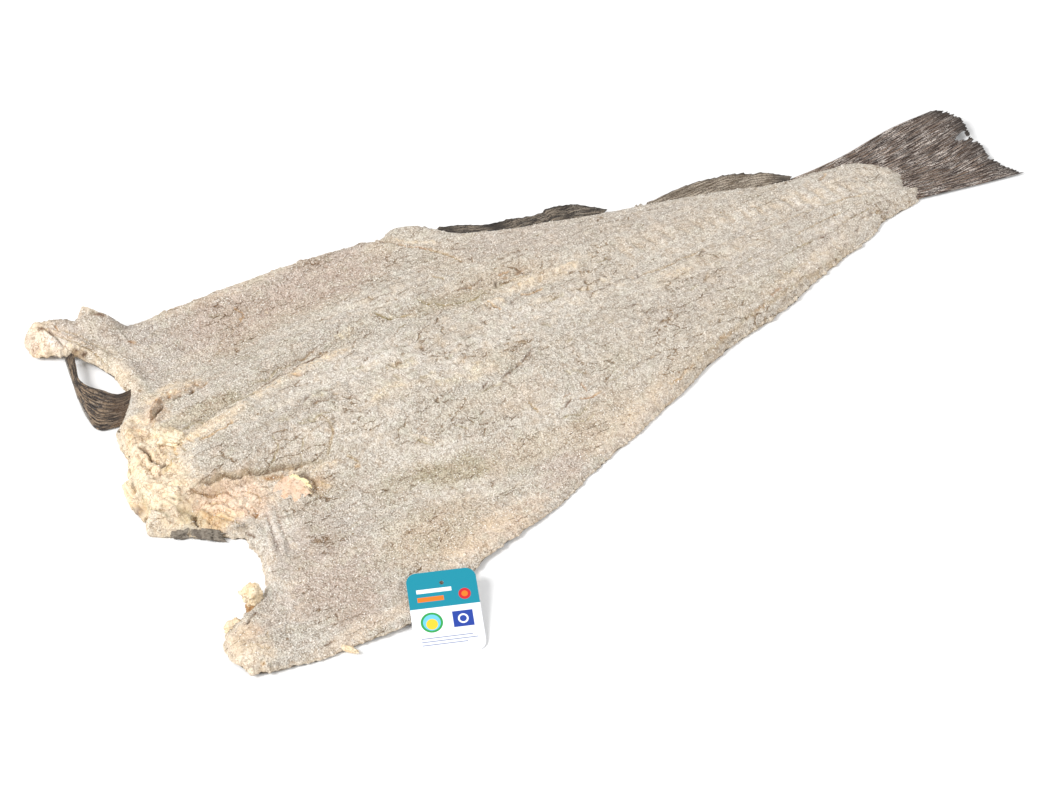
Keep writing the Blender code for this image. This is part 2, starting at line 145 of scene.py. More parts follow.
acrossLines = ("lowerSide", "upperSide", "spine", "lowerLoin", "upperLoin")
sideLow, sideHigh, spine, loinLow, loinHigh = (follow(name, body["halfWidth"]) for name in acrossLines)
tailEdge = follow("tailEdge", body["halfWidth"], key=1)
loinThickness, edgeThickness = (follow(name, body["crest"]) for name in ("loinThickness", "edgeThickness"))

head = {  # how deep the nape's edge is cut, and between which places across the fish
    "lowerBay": (0.058, (-0.158, -0.122)), "bayStep": (0.78, (-0.135, -0.095)), "baySlope": (-0.0367, 0.034),
    # the upper bay, the notch behind the stub and the step beside it
    "cuts": [(0.046, (0.027, 0.103, 0.118, 0.188)), (0.0075, (-0.031, -0.022, -0.012, -0.004)),
             (0.0095, (-0.006, 0.002, 0.030, 0.060))],
    # rounded corners and small notches: depth, middle, width
    "corners": [(0.0085, 0.040, 0.018), (0.0055, -0.182, 0.009), (0.0055, 0.188, 0.004),
                (-0.0056, 0.1710, 0.0072), (0.0030, 0.156, 0.006), (0.0030, -0.055, 0.010)],
}


def headEdge(y):
    # the nape between two bays, with the collar's corners outside them
    depth, ends = head["lowerBay"]
    share, step = head["bayStep"]
    start, fall = head["baySlope"]
    slope = np.clip((start - y) / fall, 0, 1)
    lowerBay = depth * ramp(*ends, y) * (share + (1 - share) * ramp(*step, y)) * slope
    cuts = sum(depth * span(*ends, y) for depth, ends in head["cuts"])
    return lowerBay + cuts + sum(depth * bump(y - middle, width) for depth, middle, width in head["corners"])


def insideOutline(x, y):
    return (y > sideLow(x)) & (y < sideHigh(x)) & (x > headEdge(y)) & (x < tailEdge(y))


def outlineLoop(spacing=0.0006, count=900, tailCount=200):
    # points all round the fish in plan, and which way is out at each
    scale = np.array((body["length"], body["halfWidth"]))
    startLow, endLow, startHigh, endHigh = (
        np.array(body[side][end]) * scale for side in ("lowerSide", "upperSide") for end in (0, -1)
    )
    along, up = np.linspace(startLow[0], endLow[0], count), np.linspace(endLow[1], endHigh[1], tailCount)
    back, down = np.linspace(endHigh[0], startHigh[0], count), np.linspace(startHigh[1], startLow[1], count)
    loop = np.vstack([
        np.c_[along, sideLow(along)], np.c_[tailEdge(up), up],
        np.c_[back, sideHigh(back)], np.c_[headEdge(down), down],
    ])
    closed = np.vstack([loop, loop[:1]])
    reach = np.r_[0, np.cumsum(np.linalg.norm(np.diff(closed, axis=0), axis=1))]
    at = np.arange(0, reach[-1], spacing)
    loop = np.c_[np.interp(at, reach, closed[:, 0]), np.interp(at, reach, closed[:, 1])]
    tangent = np.roll(loop, -3, axis=0) - np.roll(loop, 3, axis=0)
    tangent /= np.linalg.norm(tangent, axis=1)[:, None]
    return loop, np.c_[tangent[:, 1], -tangent[:, 0]]


outline, outward = outlineLoop()
outlineTree = kdtree.KDTree(len(outline))
for number, point in enumerate(outline):
    outlineTree.insert((*point, 0), number)
outlineTree.balance()


def toRim(x, y):
    # distance to the outline and the number of its nearest point
    found = [outlineTree.find((a, b, 0)) for a, b in zip(x, y)]
    return np.array([f[2] for f in found]), np.array([f[1] for f in found])


loins = {"groove": 0.27, "grooveWidth": 0.16, "nearHeight": 1.0, "farHeight": 0.82}


def loinShape(x, y):
    # 1 along the near loin's crest and 0 on the flaps; the backbone's groove lies between the loins
    soft = ramp(0.2, 0.55, x / body["length"])
    middle = spine(x)
    near = (middle - y) / (middle - loinLow(x))
    far = (y - middle) / (loinHigh(x) - middle)
    nearFall = 1 - ramp(0.75 - 0.25 * soft, 1.10 + 0.45 * soft, near)
    farFall = 1 - ramp(0.40, 1.75, far)
    groove = loins["groove"] * (1 - 0.5 * soft)
    nearShape = (loins["nearHeight"] - groove * bump(near, loins["grooveWidth"])) * nearFall
    farShape = (loins["farHeight"] - groove * bump(far, loins["grooveWidth"])) * farFall
    return np.where(y < middle, nearShape, farShape)


curl = {  # how far the dried edges stand off the table: height, stretch of the fish's length, reach
    "lowFlap": (0.0026, (0.06, 0.16, 0.28, 0.42), 0.022),
    "highFlap": (0.0045, (0.06, 0.12, 0.40, 0.52), 0.024),
    # raised corners: height, place, reach
    "corners": [(0.003, 0.010, -0.165, 0.035), (0.005, 0.025, 0.175, 0.036), (0.0045, 0.027, 0.147, 0.014)],
}


def lift(x, y):
    share, raised = x / body["length"], 0
    for flap, inward in (("lowFlap", y - sideLow(x)), ("highFlap", sideHigh(x) - y)):
        tall, stretch, reach = curl[flap]
        raised = raised + tall * span(*stretch, share) * bump(inward, reach)
    for tall, midX, midY, reach in curl["corners"]:
        raised = raised + tall * bump(np.hypot(x - midX, y - midY), reach)
    return raised


# the parts that are thicker than the flesh round them
swells = {"collar": 0.0155, "rims": 0.0040, "lowerEnd": 0.0045, "middle": 0.0030, "bones": 0.0010}


def thickness(x, y):
    # how thick the flesh is, from its edge up to the loins' crests
    share, fromHead = x / body["length"], x - headEdge(y)
    edge, crest = edgeThickness(x), loinThickness(x)
    where = {
        "collar": ramp(0.146, 0.182, y) * (1 - ramp(0.020, 0.085, x)) * (1 - 0.26 * ramp(0.006, 0.020, x)),
        "rims": (bump(y - 0.110, 0.042) + bump(y + 0.100, 0.042)) * bump(fromHead - 0.007, 0.009),
        "lowerEnd": bump(np.hypot(x - 0.016, y + 0.170), 0.026),
        "middle": bump(y + 0.005, 0.045) * bump(fromHead - 0.014, 0.014),
        "bones": bump(y - spine(x), 0.010) * span(0.50, 0.60, 0.92, 0.98, share),
    }
    swollen = sum(swells[name] * spread for name, spread in where.items())
    return edge + (crest - edge) * loinShape(x, y) + swollen


# small modelling steps that every piece uses
def selectOnly(piece):
    bpy.ops.object.select_all(action="DESELECT")
    piece.select_set(True)
    bpy.context.view_layer.objects.active = piece


def startEdit(piece, action="SELECT"):
    selectOnly(piece)
    bpy.ops.object.mode_set(mode="EDIT")
    bpy.ops.mesh.select_all(action=action)


def endEdit():
    bpy.ops.object.mode_set(mode="OBJECT")


def named(name):
    # the primitive just added, with its place moved into its mesh
    piece = bpy.context.object
    piece.name = piece.data.name = name
    bpy.ops.object.transform_apply(location=True, rotation=True, scale=True)
    return piece


def readAll(items, name, columns=1, kind=np.float32):
    # one value, or one row of values, from each of a mesh's items
    got = np.empty(len(items) * columns, kind)
    items.foreach_get(name, got)
    return got.reshape(-1, columns) if columns > 1 else got


def coordinates(piece):
    return readAll(piece.data.vertices, "co", 3, float)


def onFish(co):
    # the places measured from the nape
    return co[:, 0] - nape.x, co[:, 1] - nape.y


def place(piece, co):
    piece.data.vertices.foreach_set("co", np.ascontiguousarray(co).ravel())
    piece.data.update()


def attribute(piece, name, values):
    layer = piece.data.attributes.new(name, "FLOAT", "POINT")
    layer.data.foreach_set("value", np.asarray(values, np.float32))


def pick(piece, kind, chosen):
    # opens edit mode with only these vertices, edges or polygons selected
    selectOnly(piece)
    kinds = ("vertices", "edges", "polygons")
    for each in kinds:
        parts = getattr(piece.data, each)
        parts.foreach_set("select", chosen if each == kind else np.zeros(len(parts), bool))
    bpy.context.tool_settings.mesh_select_mode = [each == kind for each in kinds]
    bpy.ops.object.mode_set(mode="EDIT")


def deleteVertices(piece, unwanted):
    pick(piece, "vertices", unwanted)
    bpy.ops.mesh.delete(type="VERT")
    endEdit()


def selectRim(piece):
    # the open border of a sheet, selected in edit mode
    startEdit(piece, "DESELECT")
    bpy.ops.mesh.select_mode(type="EDGE")
    bpy.ops.mesh.select_non_manifold(
        extend=False, use_wire=False, use_multi_face=False, use_non_contiguous=False, use_verts=False,
    )


def modify(piece, kind, **settings):
    selectOnly(piece)
    added = piece.modifiers.new(kind.title(), kind)
    for name, value in settings.items():
        setattr(added, name, value)
    bpy.ops.object.modifier_apply(modifier=added.name)


def turnOutwards(piece):
    startEdit(piece)
    bpy.ops.mesh.normals_make_consistent(inside=False)
    bpy.ops.mesh.select_all(action="DESELECT")
    endEdit()


def finished(piece, finish, node="cod", smooth=True):
    piece.data.materials.clear()
    piece.data.materials.append(finish)
    selectOnly(piece)
    if smooth:
        bpy.ops.object.shade_smooth()
    piece.select_set(False)
    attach(piece, "root")
    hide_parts(node)
    return piece


# strokes of the knife and the drying room, some of them painted shadow at steps and beside the torn
# flap, in millimetres: for each kind and tint, the width, the height and the points of each one
strokes = {
    ("ridge", "cream"): [
        (7.0, 2.6, (15, 2), (18, 14), (21, 26), (23, 38), (25, 52), (30, 62)),
        (13.0, 1.6, (45, 44), (48, 37), (52, 31)), (5.0, 1.8, (31, 57), (35, 48), (37, 40)),
        (4.0, 2.0, (18, -10), (26, -17), (33, -22)), (4.0, 2.0, (14, -22), (20, -30), (26, -38)),
        (8.0, 2.4, (41, 44), (46, 57), (55, 69), (67, 76), (84, 77), (104, 75)),
        (9.0, 1.8, (56, 23), (70, 22), (85, 24), (100, 27), (116, 32)),
        (8.0, 0.7, (112, 32), (130, 35), (150, 37), (175, 40), (208, 41)),
        (6.0, 1.8, (303, 27), (314, 29), (327, 25)),
        (7.0, 1.9, (332, 33), (345, 34), (362, 36), (385, 36), (404, 34)),
        (3.6, 1.5, (48, -26), (62, -26), (78, -29), (92, -33), (106, -37), (124, -43), (140, -47),
         (150, -52)),
        (3.0, 1.6, (124, -55), (129, -60), (128, -64)),
        (2.4, 1.0, (21, 162), (30, 151), (38, 139), (43, 126), (46, 110)),
        (3.0, 1.0, (288, 146), (306, 133), (324, 122)),
        (1.7, 1.2, (199, -53), (204, -58), (210, -63), (216, -70)),
        (4.0, 0.9, (440, -13), (455, -12), (470, -13), (483, -17), (496, -20)),
    ],
    ("ridge", "ochre"): [
        (5.0, 2.4, (37, -35), (41, -44), (45, -53), (50, -60)),
        (3.2, 2.0, (104, -42), (110, -48), (114, -55), (116, -62)),
    ],
    ("ridge", "rust"): [(2.6, 2.0, (44, 55), (50, 62), (56, 68), (63, 74))],
    ("ridge", "lemon"): [
        (3.4, 0.5, (243, 60), (249, 54), (256, 49), (264, 45)),
        (4.0, 0.6, (273, 57), (278, 51), (284, 45), (292, 40)),
        (6.0, 0.5, (186, -22), (196, -17), (208, -14), (218, -16)), (5.0, 0.4, (212, 6), (222, 2), (236, 2)),
        (5.0, 0.4, (234, -26), (246, -30), (258, -30)), (6.0, 0.5, (262, -40), (268, -30), (274, -22)),
        (4.0, 0.4, (196, 60), (206, 58), (216, 60)), (3.0, 0.6, (150, 4), (156, 6), (161, 3)),
    ],
    ("ridge", "pink"): [(3.0, 1.2, (60, -45), (66, -52), (66, -60))],
    ("ridge", "pale"): [
        (2.4, 0.5, (84, -60), (81, -72), (77, -88), (73, -102), (71, -118)),
        (1.6, 0.3, (92, -70), (88, -84), (82, -98), (79, -110)),
        (5.0, 0.8, (84, -54), (82, -68), (78, -84), (74, -97), (71, -112)),
        (4.6, 0.8, (76, -63), (72, -78), (68, -92), (64, -105)), (2.2, 0.9, (90, -54), (90, -67), (88, -80)),
        (3.4, 0.9, (60, -96), (56, -110), (50, -124), (41, -138)),
        (2.6, 0.9, (14, -158), (26, -158), (40, -150), (52, -140)),
        (2.2, 0.8, (20, -168), (34, -164), (46, -160), (60, -164)),
        (1.6, 0.8, (52, -143), (56, -148), (62, -153)), (1.8, 0.7, (54, -166), (62, -172), (70, -180)),
        (1.6, 1.4, (61, 160), (64, 154), (66, 149), (70, 144)), (1.4, 1.1, (70, 146), (73, 140), (77, 133)),
        (1.3, 0.8, (82, 149), (86, 142), (91, 135)),
        (1.5, 1.3, (160, -48), (165, -53), (169, -58), (173, -65)),
        (3.0, 0.5, (560, -28), (580, -27), (600, -22), (625, -17)),
    ],
    ("ridge", "peach"): [(2.6, 1.0, (14, 176), (24, 168), (34, 157), (41, 146))],
    ("flake", "cream"): [
        (1.6, 2.2, (30, 27), (38, 29), (47, 30), (55, 27), (57, 21)),
        (1.5, 0.9, (280, -25), (276, -18), (268, -16), (262, -22)),
    ],
    ("flake", "straw"): [
        (1.5, 1.6, (48, 52), (43, 45), (42, 36), (38, 30)),
        (1.8, 0.7, (136, -42), (146, -34), (150, -22), (146, -10)),
        (2.0, 0.9, (400, -102), (432, -90), (462, -80), (500, -70), (560, -55), (620, -38)),
    ],
    ("flake", "olive"): [
        # this step is the near loin's lower edge; its olive tint at the step's foot is painted shadow of the
        # step
        (1.7, 2.6, (40, -20), (50, -22), (57, -23), (64, -21), (75, -25), (83, -26), (92, -29), (104, -32),
         (118, -37), (130, -40), (146, -44)),
    ],
    ("flake", "grey"): [(1.5, 0.9, (281, -46), (289, -43), (297, -40), (310, -34), (320, -31))],
    ("crack", "brown"): [
        (1.9, -3.4, (23, 32), (26, 29), (28, 23), (29, 16), (29, 9), (30, 3)),
        (1.7, -2.8, (28, 1), (31, 4), (35, 6)), (1.2, -2.0, (33, -38), (31, -46), (33, -50)),
        (1.3, -1.8, (5, -18), (5, -24), (2, -25)), (1.2, -1.8, (50, 56), (56, 62), (60, 65)),
        (2.0, -2.2, (67, 65), (71, 66), (75, 66)), (2.2, -2.4, (79, 64), (82, 64), (86, 67)),
        (1.1, -1.4, (94, 34), (99, 34), (104, 34)),
        (0.9, -1.0, (118, 37), (130, 40), (143, 43), (150, 42), (160, 45), (176, 46), (200, 47)),
        (1.0, -1.3, (158, 52), (166, 52), (172, 53), (181, 56)), (1.8, -1.8, (327, 43), (331, 47), (335, 50)),
        (1.3, -1.4, (299, 56), (312, 55), (327, 57)),
        # this brown crack, a millimetre under the near loin's step, is painted shadow at the foot of that
        # step
        (1.0, -1.4, (44, -21), (50, -23), (57, -24), (64, -22), (75, -26), (83, -27), (92, -30), (104, -33),
         (118, -38), (130, -41)),
        (1.3, -2.2, (58, -70), (60, -76), (61, -81)),
        # this brown groove beside the torn flap's free edge is painted shadow of the flap
        (2.6, -2.4, (116, -41), (121, -46), (122, -53), (120, -58)),
        (1.5, -1.8, (104, -47), (108, -53), (112, -59), (115, -64)),
        (1.5, -2.0, (19, -151), (25, -147), (31, -143)), (1.3, -1.5, (57, -190), (66, -190)),
        (1.4, -2.4, (8, 182), (13, 176), (17, 170), (19, 163), (21, 155)), (1.1, -1.4, (4, 179), (7, 176)),
        (2.4, -2.6, (24, 153), (28, 149), (34, 143)), (1.3, -1.8, (47, 168), (54, 164), (60, 160)),
        (1.6, -2.0, (278, 149), (286, 143), (294, 137)), (1.3, -1.8, (144, 4), (147, 7), (151, 8)),
        (1.5, -2.1, (148, 0), (153, 1), (158, -2), (163, -3)), (1.3, -1.8, (157, 8), (161, 9), (166, 6)),
        (0.9, -0.7, (280, -47), (287, -44), (295, -41), (303, -38), (310, -35), (318, -31), (329, -32)),
        (1.0, -1.0, (281, -47), (284, -52), (288, -59)), (1.0, -1.2, (264, -47), (271, -43)),
        (1.2, -1.3, (402, -28), (411, -27)), (1.2, -1.6, (369, -81), (375, -80), (380, -79), (385, -81)),
        (1.1, -1.4, (386, -78), (393, -78), (401, -78)), (1.1, -1.4, (309, -87), (314, -85), (320, -83)),
        (1.3, -1.9, (465, -32), (470, -30), (474, -28), (479, -25)),
        (1.1, -1.3, (566, -32), (580, -31), (594, -29), (602, -26), (612, -23), (620, -22)),
        (1.3, -1.6, (610, -35), (615, -33), (619, -31)),
        (1.4, -1.8, (630, -26), (638, -25), (646, -26), (654, -27)),
    ],
    ("crack", "straw"): [
        (1.2, -1.4, (26, -5), (33, 1), (38, 5), (46, 7)), (1.4, -1.4, (41, 21), (39, 15), (37, 8)),
        (1.4, -1.4, (53, 25), (52, 16), (52, 9)), (1.3, -1.2, (64, 23), (66, 17), (67, 12)),
        (1.2, -1.4, (330, 41), (337, 43), (352, 43), (366, 45)), (1.4, -1.2, (292, 79), (296, 75), (299, 71)),
        (1.2, -1.2, (51, -50), (55, -58), (59, -64)), (1.3, -1.0, (26, -171), (28, -164)),
        (1.4, -1.1, (17, -172), (20, -176), (24, -178)),
        (1.2, -0.8, (13, 174), (23, 164), (33, 152), (40, 140), (44, 126)),
        (1.2, -0.9, (26, 172), (36, 162), (44, 150), (49, 136)),
        (1.6, -0.8, (118, 98), (128, 112), (140, 118), (150, 124)),
        (2.0, -1.1, (308, 122), (316, 112), (320, 96), (322, 82)),
        (1.1, -0.9, (149, -46), (154, -51), (158, -56)), (1.0, -0.9, (289, -69), (290, -75), (290, -82)),
        (1.4, -1.1, (430, -1), (450, -2), (470, -1), (492, -1)),
        (1.2, -0.8, (496, -1), (550, -2), (600, 0), (650, -4)),
        (1.1, -1.0, (526, -51), (540, -51), (554, -49)),
        (1.1, -1.0, (560, -20), (580, -17), (600, -15), (616, -13)),
    ],
    ("crack", "ochre"): [
        (1.4, -1.4, (47, 23), (45, 15), (44, 8)), (1.4, -1.2, (58, 24), (59, 17), (60, 11)),
        (1.5, -1.4, (62, 12), (70, 14), (80, 14), (88, 15), (95, 19)),
        (1.1, -1.5, (313, 31), (315, 24), (319, 18)), (1.8, -2.0, (338, 25), (346, 22), (359, 24)),
        (1.4, -1.4, (12, -184), (17, -185)), (1.4, -1.2, (57, 167), (64, 162)),
        (1.5, -1.6, (388, -105), (396, -103), (405, -100), (412, -97), (419, -95)),
        (1.2, -1.2, (448, -84), (456, -82), (464, -80)), (1.6, -1.0, (621, 26), (626, 29), (632, 34)),
    ],
    ("crack", "olive"): [
        (1.2, -1.6, (23, -25), (26, -28), (30, -29)),
        (2.6, -3.8, (22, -33), (29, -35), (34, -38), (32, -44), (31, -51)),
        (1.8, -2.6, (39, -52), (41, -50), (44, -47)), (1.6, -2.4, (9, -2), (8, -14), (10, -27), (18, -38)),
        (1.6, -1.5, (50, 39), (54, 34), (62, 33), (70, 34), (80, 32), (90, 35)),
        (1.1, -1.1, (118, 46), (134, 48), (150, 51), (160, 51)),
        (1.4, -1.6, (115, -65), (121, -66), (128, -66)),
        (1.0, -1.0, (136, -9), (142, -13), (150, -12), (157, -14)),
        (1.1, -1.2, (110, -9), (110, -20), (104, -26), (98, -30)),
        (1.0, -1.0, (119, -37), (124, -30), (132, -24)), (1.3, -1.5, (200, -57), (206, -63), (212, -69)),
        (1.2, -1.2, (231, -61), (235, -65), (240, -69)), (1.2, -1.3, (260, -49), (270, -48), (281, -48)),
        (1.1, -1.2, (340, -37), (348, -35)), (1.2, -1.3, (365, -32), (370, -29), (375, -27)),
        (1.1, -1.2, (379, -35), (387, -34)), (1.1, -1.0, (350, -83), (358, -83), (369, -82)),
        (1.2, -1.4, (302, -94), (310, -94), (317, -97), (325, -94), (331, -88)),
        (1.1, -1.1, (309, -100), (316, -103), (327, -102)), (1.1, -1.1, (454, -34), (465, -32)),
        (1.4, -1.7, (510, -29), (514, -27), (518, -25)), (1.1, -1.1, (498, -30), (508, -27)),
        (1.5, -1.9, (472, -78), (479, -75), (487, -73)),
    ],
    ("crack", "rust"): [
        (1.9, -2.6, (42, 49), (46, 53), (50, 57), (55, 60), (60, 65)),
        (1.3, -1.4, (54, 69), (57, 72), (61, 72)), (1.8, -1.8, (88, 66), (92, 66), (97, 69)),
        (1.2, -1.2, (66, 80), (67, 74), (66, 69)), (1.2, -1.2, (79, 73), (81, 69)),
        (1.2, -1.2, (88, 75), (90, 69)), (1.1, -1.1, (337, 54), (347, 55)),
        (1.4, -1.9, (37, -24), (45, -27), (52, -29), (61, -30)), (1.1, -1.4, (83, -29), (87, -32)),
        (1.5, -1.4, (91, -33), (98, -36), (105, -38)), (1.2, -1.4, (63, -30), (66, -36), (67, -43)),
        (1.1, -1.2, (76, -35), (80, -43), (79, -52)), (1.2, -1.3, (72, -53), (72, -58), (70, -62)),
        (1.1, -1.2, (47, -33), (53, -36), (58, -42)), (1.0, -1.2, (23, 176), (24, 171)),
        (1.2, -1.0, (152, 142), (156, 130), (148, 124)),
        (1.4, -1.6, (292, 138), (300, 131), (308, 124), (316, 116)),
        (1.2, -1.3, (312, -79), (318, -79), (321, -77)), (1.3, -1.5, (331, -74), (332, -79), (331, -84)),
        (1.1, -1.1, (322, -85), (330, -88), (343, -88)), (1.2, -1.3, (486, -73), (493, -72), (500, -71)),
        (1.3, -1.3, (507, -66), (514, -64), (521, -62)),
    ],
    ("crack", "moss"): [
        (1.1, -1.2, (88, 35), (100, 38), (112, 36), (122, 38)), (1.0, -1.2, (182, 52), (190, 53), (197, 52)),
        (1.3, -1.2, (234, 68), (239, 60), (245, 55), (252, 51), (262, 48)), (1.2, -1.0, (242, 42), (250, 42)),
        (1.5, -1.3, (270, 64), (274, 57), (278, 52), (282, 46), (289, 42)),
        (1.3, -1.2, (286, 43), (298, 41), (309, 40), (321, 41)), (1.2, -1.4, (408, 28), (414, 28), (420, 30)),
        (1.0, -0.9, (520, -37), (534, -36), (548, -34), (562, -32), (578, -31)),
        (1.0, -1.1, (612, -23), (620, -22), (628, -21), (640, -20)),
    ],
    ("crack", "slate"): [(3.2, -1.8, (54, -63), (59, -68), (63, -63))],
    ("crack", "mauve"): [
        (1.8, -0.5, (79, -58), (78, -65), (75, -75), (72, -86), (69, -107)),
        (1.5, -0.5, (87, -60), (84, -74), (80, -90), (76, -105)),
    ],
    ("pit", "brown"): [
        (2.6, -2.8, (22, -2), (25, -3), (28, -1)), (1.8, -1.6, (330, 21), (333, 22)),
        (1.4, -1.2, (273, 65), (276, 66)), (1.6, -1.6, (167, 2), (169, 0)), (1.8, -1.8, (164, -2), (166, -5)),
        (1.6, -1.4, (245, 12), (246, 9)), (1.9, -1.8, (406, 14), (408, 10)), (1.9, -1.6, (420, 1), (423, -1)),
        (1.6, -1.4, (428, -3), (430, 1)), (1.5, -1.4, (464, -1), (467, -1)), (1.4, -1.2, (487, -1), (490, 0)),
        (1.4, -1.2, (563, -8), (564, -10)), (1.6, -1.2, (447, 30), (449, 29)),
        (1.8, -1.2, (411, -37), (413, -39)),
    ],
    ("pit", "rust"): [
        (1.9, -1.8, (24, 31), (27, 28)), (2.8, -1.0, (153, 37), (156, 33)), (1.8, -1.2, (339, 50), (342, 50)),
        (2.4, -1.5, (350, 50), (355, 51)), (2.0, -1.3, (70, -59), (71, -61)),
        (1.6, -1.0, (57, -38), (60, -38)), (1.6, -1.2, (102, -46), (105, -47)),
        (1.5, -0.8, (72, -120), (76, -120)), (2.0, -1.2, (68, 146), (70, 143)),
    ],
    ("pit", "ochre"): [
        (1.8, -1.6, (31, 50), (33, 47)), (1.5, -1.2, (24, 45), (26, 43)), (2.0, -1.2, (361, 31), (362, 33)),
        (1.8, -0.8, (153, -56), (156, -57)),
    ],
    ("pit", "tan"): [
        (1.6, -1.2, (4, 173), (6, 172)), (1.4, -1.0, (10, 170), (12, 169)), (1.4, -1.0, (11, 164), (13, 163)),
        (1.6, -1.2, (205, -11), (206, -14)),
    ],
    ("pit", "olive"): [
        (1.6, -1.4, (121, 12), (121, 10)), (2.0, -1.5, (122, -2), (127, -2)),
        (2.0, -1.4, (133, -12), (136, -13)), (2.0, -1.4, (140, -13), (143, -15)),
        (2.2, -1.6, (195, 17), (198, 16)), (1.6, -1.5, (219, 4), (219, 2)),
        (1.9, -1.4, (213, -5), (214, -10)), (1.8, -1.3, (230, -17), (233, -17)),
        (1.8, -1.3, (237, -16), (240, -17)), (1.7, -1.4, (260, -7), (260, -9)),
        (1.7, -1.2, (337, -13), (340, -15)), (2.0, -1.5, (354, 6), (360, 8), (367, 8)),
        (2.4, -2.2, (382, 7), (388, 3)), (2.2, -2.0, (391, 12), (393, 9)), (2.4, -2.0, (401, 10), (403, 7)),
        (1.6, -1.2, (328, -60), (329, -63)), (1.6, -1.2, (333, -62), (338, -68)),
    ],
}

# patches of each tint, in millimetres: middle, half sizes, turn in degrees, strength
blots = {
    "cream": [
        (24, 12, 30, 62, -8, 1.0), (46, 30, 16, 12, 0, 0.9), (78, 24, 32, 9, 6, 0.75),
        (28, -28, 26, 24, 0, 0.9), (50, 118, 9, 44, 4, 0.55), (12, 168, 16, 24, 38, 0.95),
        (54, 172, 14, 7, -20, 0.85), (12, -164, 16, 26, 0, 0.7), (66, 80, 26, 9, 12, 0.7),
        (56, -34, 18, 8, -6, 0.5), (160, 160, 110, 9, 0, 0.45), (366, 36, 46, 10, 0, 0.5),
        (205, -14, 22, 16, 0, 0.35), (270, -28, 26, 12, 0, 0.3), (480, -12, 60, 8, 0, 0.3),
    ],
    "pale": [
        (26, 166, 22, 11, -8, 0.75), (250, 80, 52, 16, 0, 0.45), (180, 22, 60, 20, 0, 0.5),
        (260, 0, 80, 34, 0, 0.5), (160, -30, 60, 22, -12, 0.45), (360, 2, 60, 16, 0, 0.35),
        (82, -78, 14, 40, 8, 0.75), (60, -120, 14, 40, -12, 0.6), (214, -118, 36, 12, -16, 0.45),
        (196, -66, 44, 12, -22, 0.35), (300, -84, 40, 10, 0, 0.3), (620, 14, 50, 22, 0, 0.4),
    ],
    "pink": [(4, 168, 8, 7, 0, 0.45), (20, -157, 12, 9, 0, 0.5), (64, -42, 34, 22, -8, 0.85)],
    "peach": [
        (50, 62, 10, 20, -40, 0.6), (206, -160, 60, 14, 12, 0.8), (350, -118, 60, 10, 18, 0.6),
        (290, -66, 24, 14, 0, 0.3), (100, -190, 60, 7, 4, 0.5), (560, -50, 60, 8, 16, 0.4),
    ],
    "tan": [
        (210, 120, 80, 26, 0, 0.45), (146, 104, 50, 14, 0, 0.3), (282, 142, 16, 14, 0, 0.5),
        (330, 52, 60, 14, 0, 0.45), (312, 96, 22, 34, 0, 0.3), (484, 34, 70, 12, -4, 0.35),
        (176, -140, 52, 30, 6, 0.65), (264, -106, 46, 16, 0, 0.45), (330, -110, 50, 18, 16, 0.5),
        (410, -94, 50, 10, 16, 0.45),
    ],
    "mauve": [
        (1, 174, 9, 12, 0, 0.5), (16, -166, 17, 20, 0, 0.35), (142, 132, 58, 36, 0, 0.75),
        (222, 132, 64, 34, 0, 0.8), (372, 88, 56, 30, -14, 0.45), (92, -132, 36, 52, 0, 0.75),
        (52, -150, 26, 18, 0, 0.4), (92, -176, 26, 14, 6, 0.55), (276, -136, 26, 16, 10, 0.7),
        (610, -26, 50, 9, 12, 0.25), (30, 172, 18, 14, 0, 0.35),
    ],
    "grey": [
        (78, 128, 24, 44, 0, 0.75), (60, 156, 20, 12, 0, 0.6), (196, 74, 24, 16, 0, 0.3),
        (470, 60, 80, 24, -10, 0.45), (400, 6, 40, 10, 0, 0.35), (120, -6, 40, 16, 0, 0.25),
        (110, -96, 40, 26, 0, 0.55), (420, -52, 60, 16, 6, 0.4), (500, -30, 80, 16, 2, 0.35),
        (560, 0, 60, 14, 0, 0.4),
    ],
    "olive": [
        (32, -44, 13, 8, -30, 0.8), (82, 42, 40, 9, 4, 0.55), (290, 46, 42, 10, -14, 0.45),
        (290, -30, 14, 14, 0, 0.3), (214, -94, 34, 15, -12, 0.75), (176, -84, 30, 12, 0, 0.4),
        (370, -70, 20, 12, 0, 0.35), (500, -56, 60, 10, 10, 0.3),
    ],
    # the second ochre patch, beside the torn flap's free edge, is painted shadow of the flap
    "ochre": [(44, -52, 12, 14, 0, 0.7), (122, -56, 12, 10, 0, 0.55)],
    "rust": [
        (52, 60, 16, 8, 50, 0.45), (76, 70, 26, 5, 4, 0.4), (28, 44, 8, 12, 0, 0.18),
        (108, -46, 14, 8, -30, 0.3),
    ],
}
tints = (
    "cream", "pale", "lemon", "pink", "peach", "tan", "straw", "mauve", "grey", "olive", "ochre", "moss",
    "rust", "slate", "brown",
)


def alongLine(x, y, line):
    # signed distance from a line of points, positive on its left, and the share of the way along
    best = np.full(len(x), np.inf)
    side, share = np.zeros(len(x)), np.zeros(len(x))
    line = smoothLine(line, 4)
    for number, (a, b) in enumerate(zip(line, line[1:])):
        step = b - a
        t = np.clip(((x - a[0]) * step[0] + (y - a[1]) * step[1]) / (step @ step), 0, 1)
        distance = np.hypot(x - a[0] - t * step[0], y - a[1] - t * step[1])
        nearer = distance < best
        left = np.sign(step[0] * (y - a[1]) - step[1] * (x - a[0]))
        best = np.where(nearer, distance, best)
        side = np.where(nearer, left, side)
        share = np.where(nearer, (number + t) / (len(line) - 1), share)
    return best * side, share


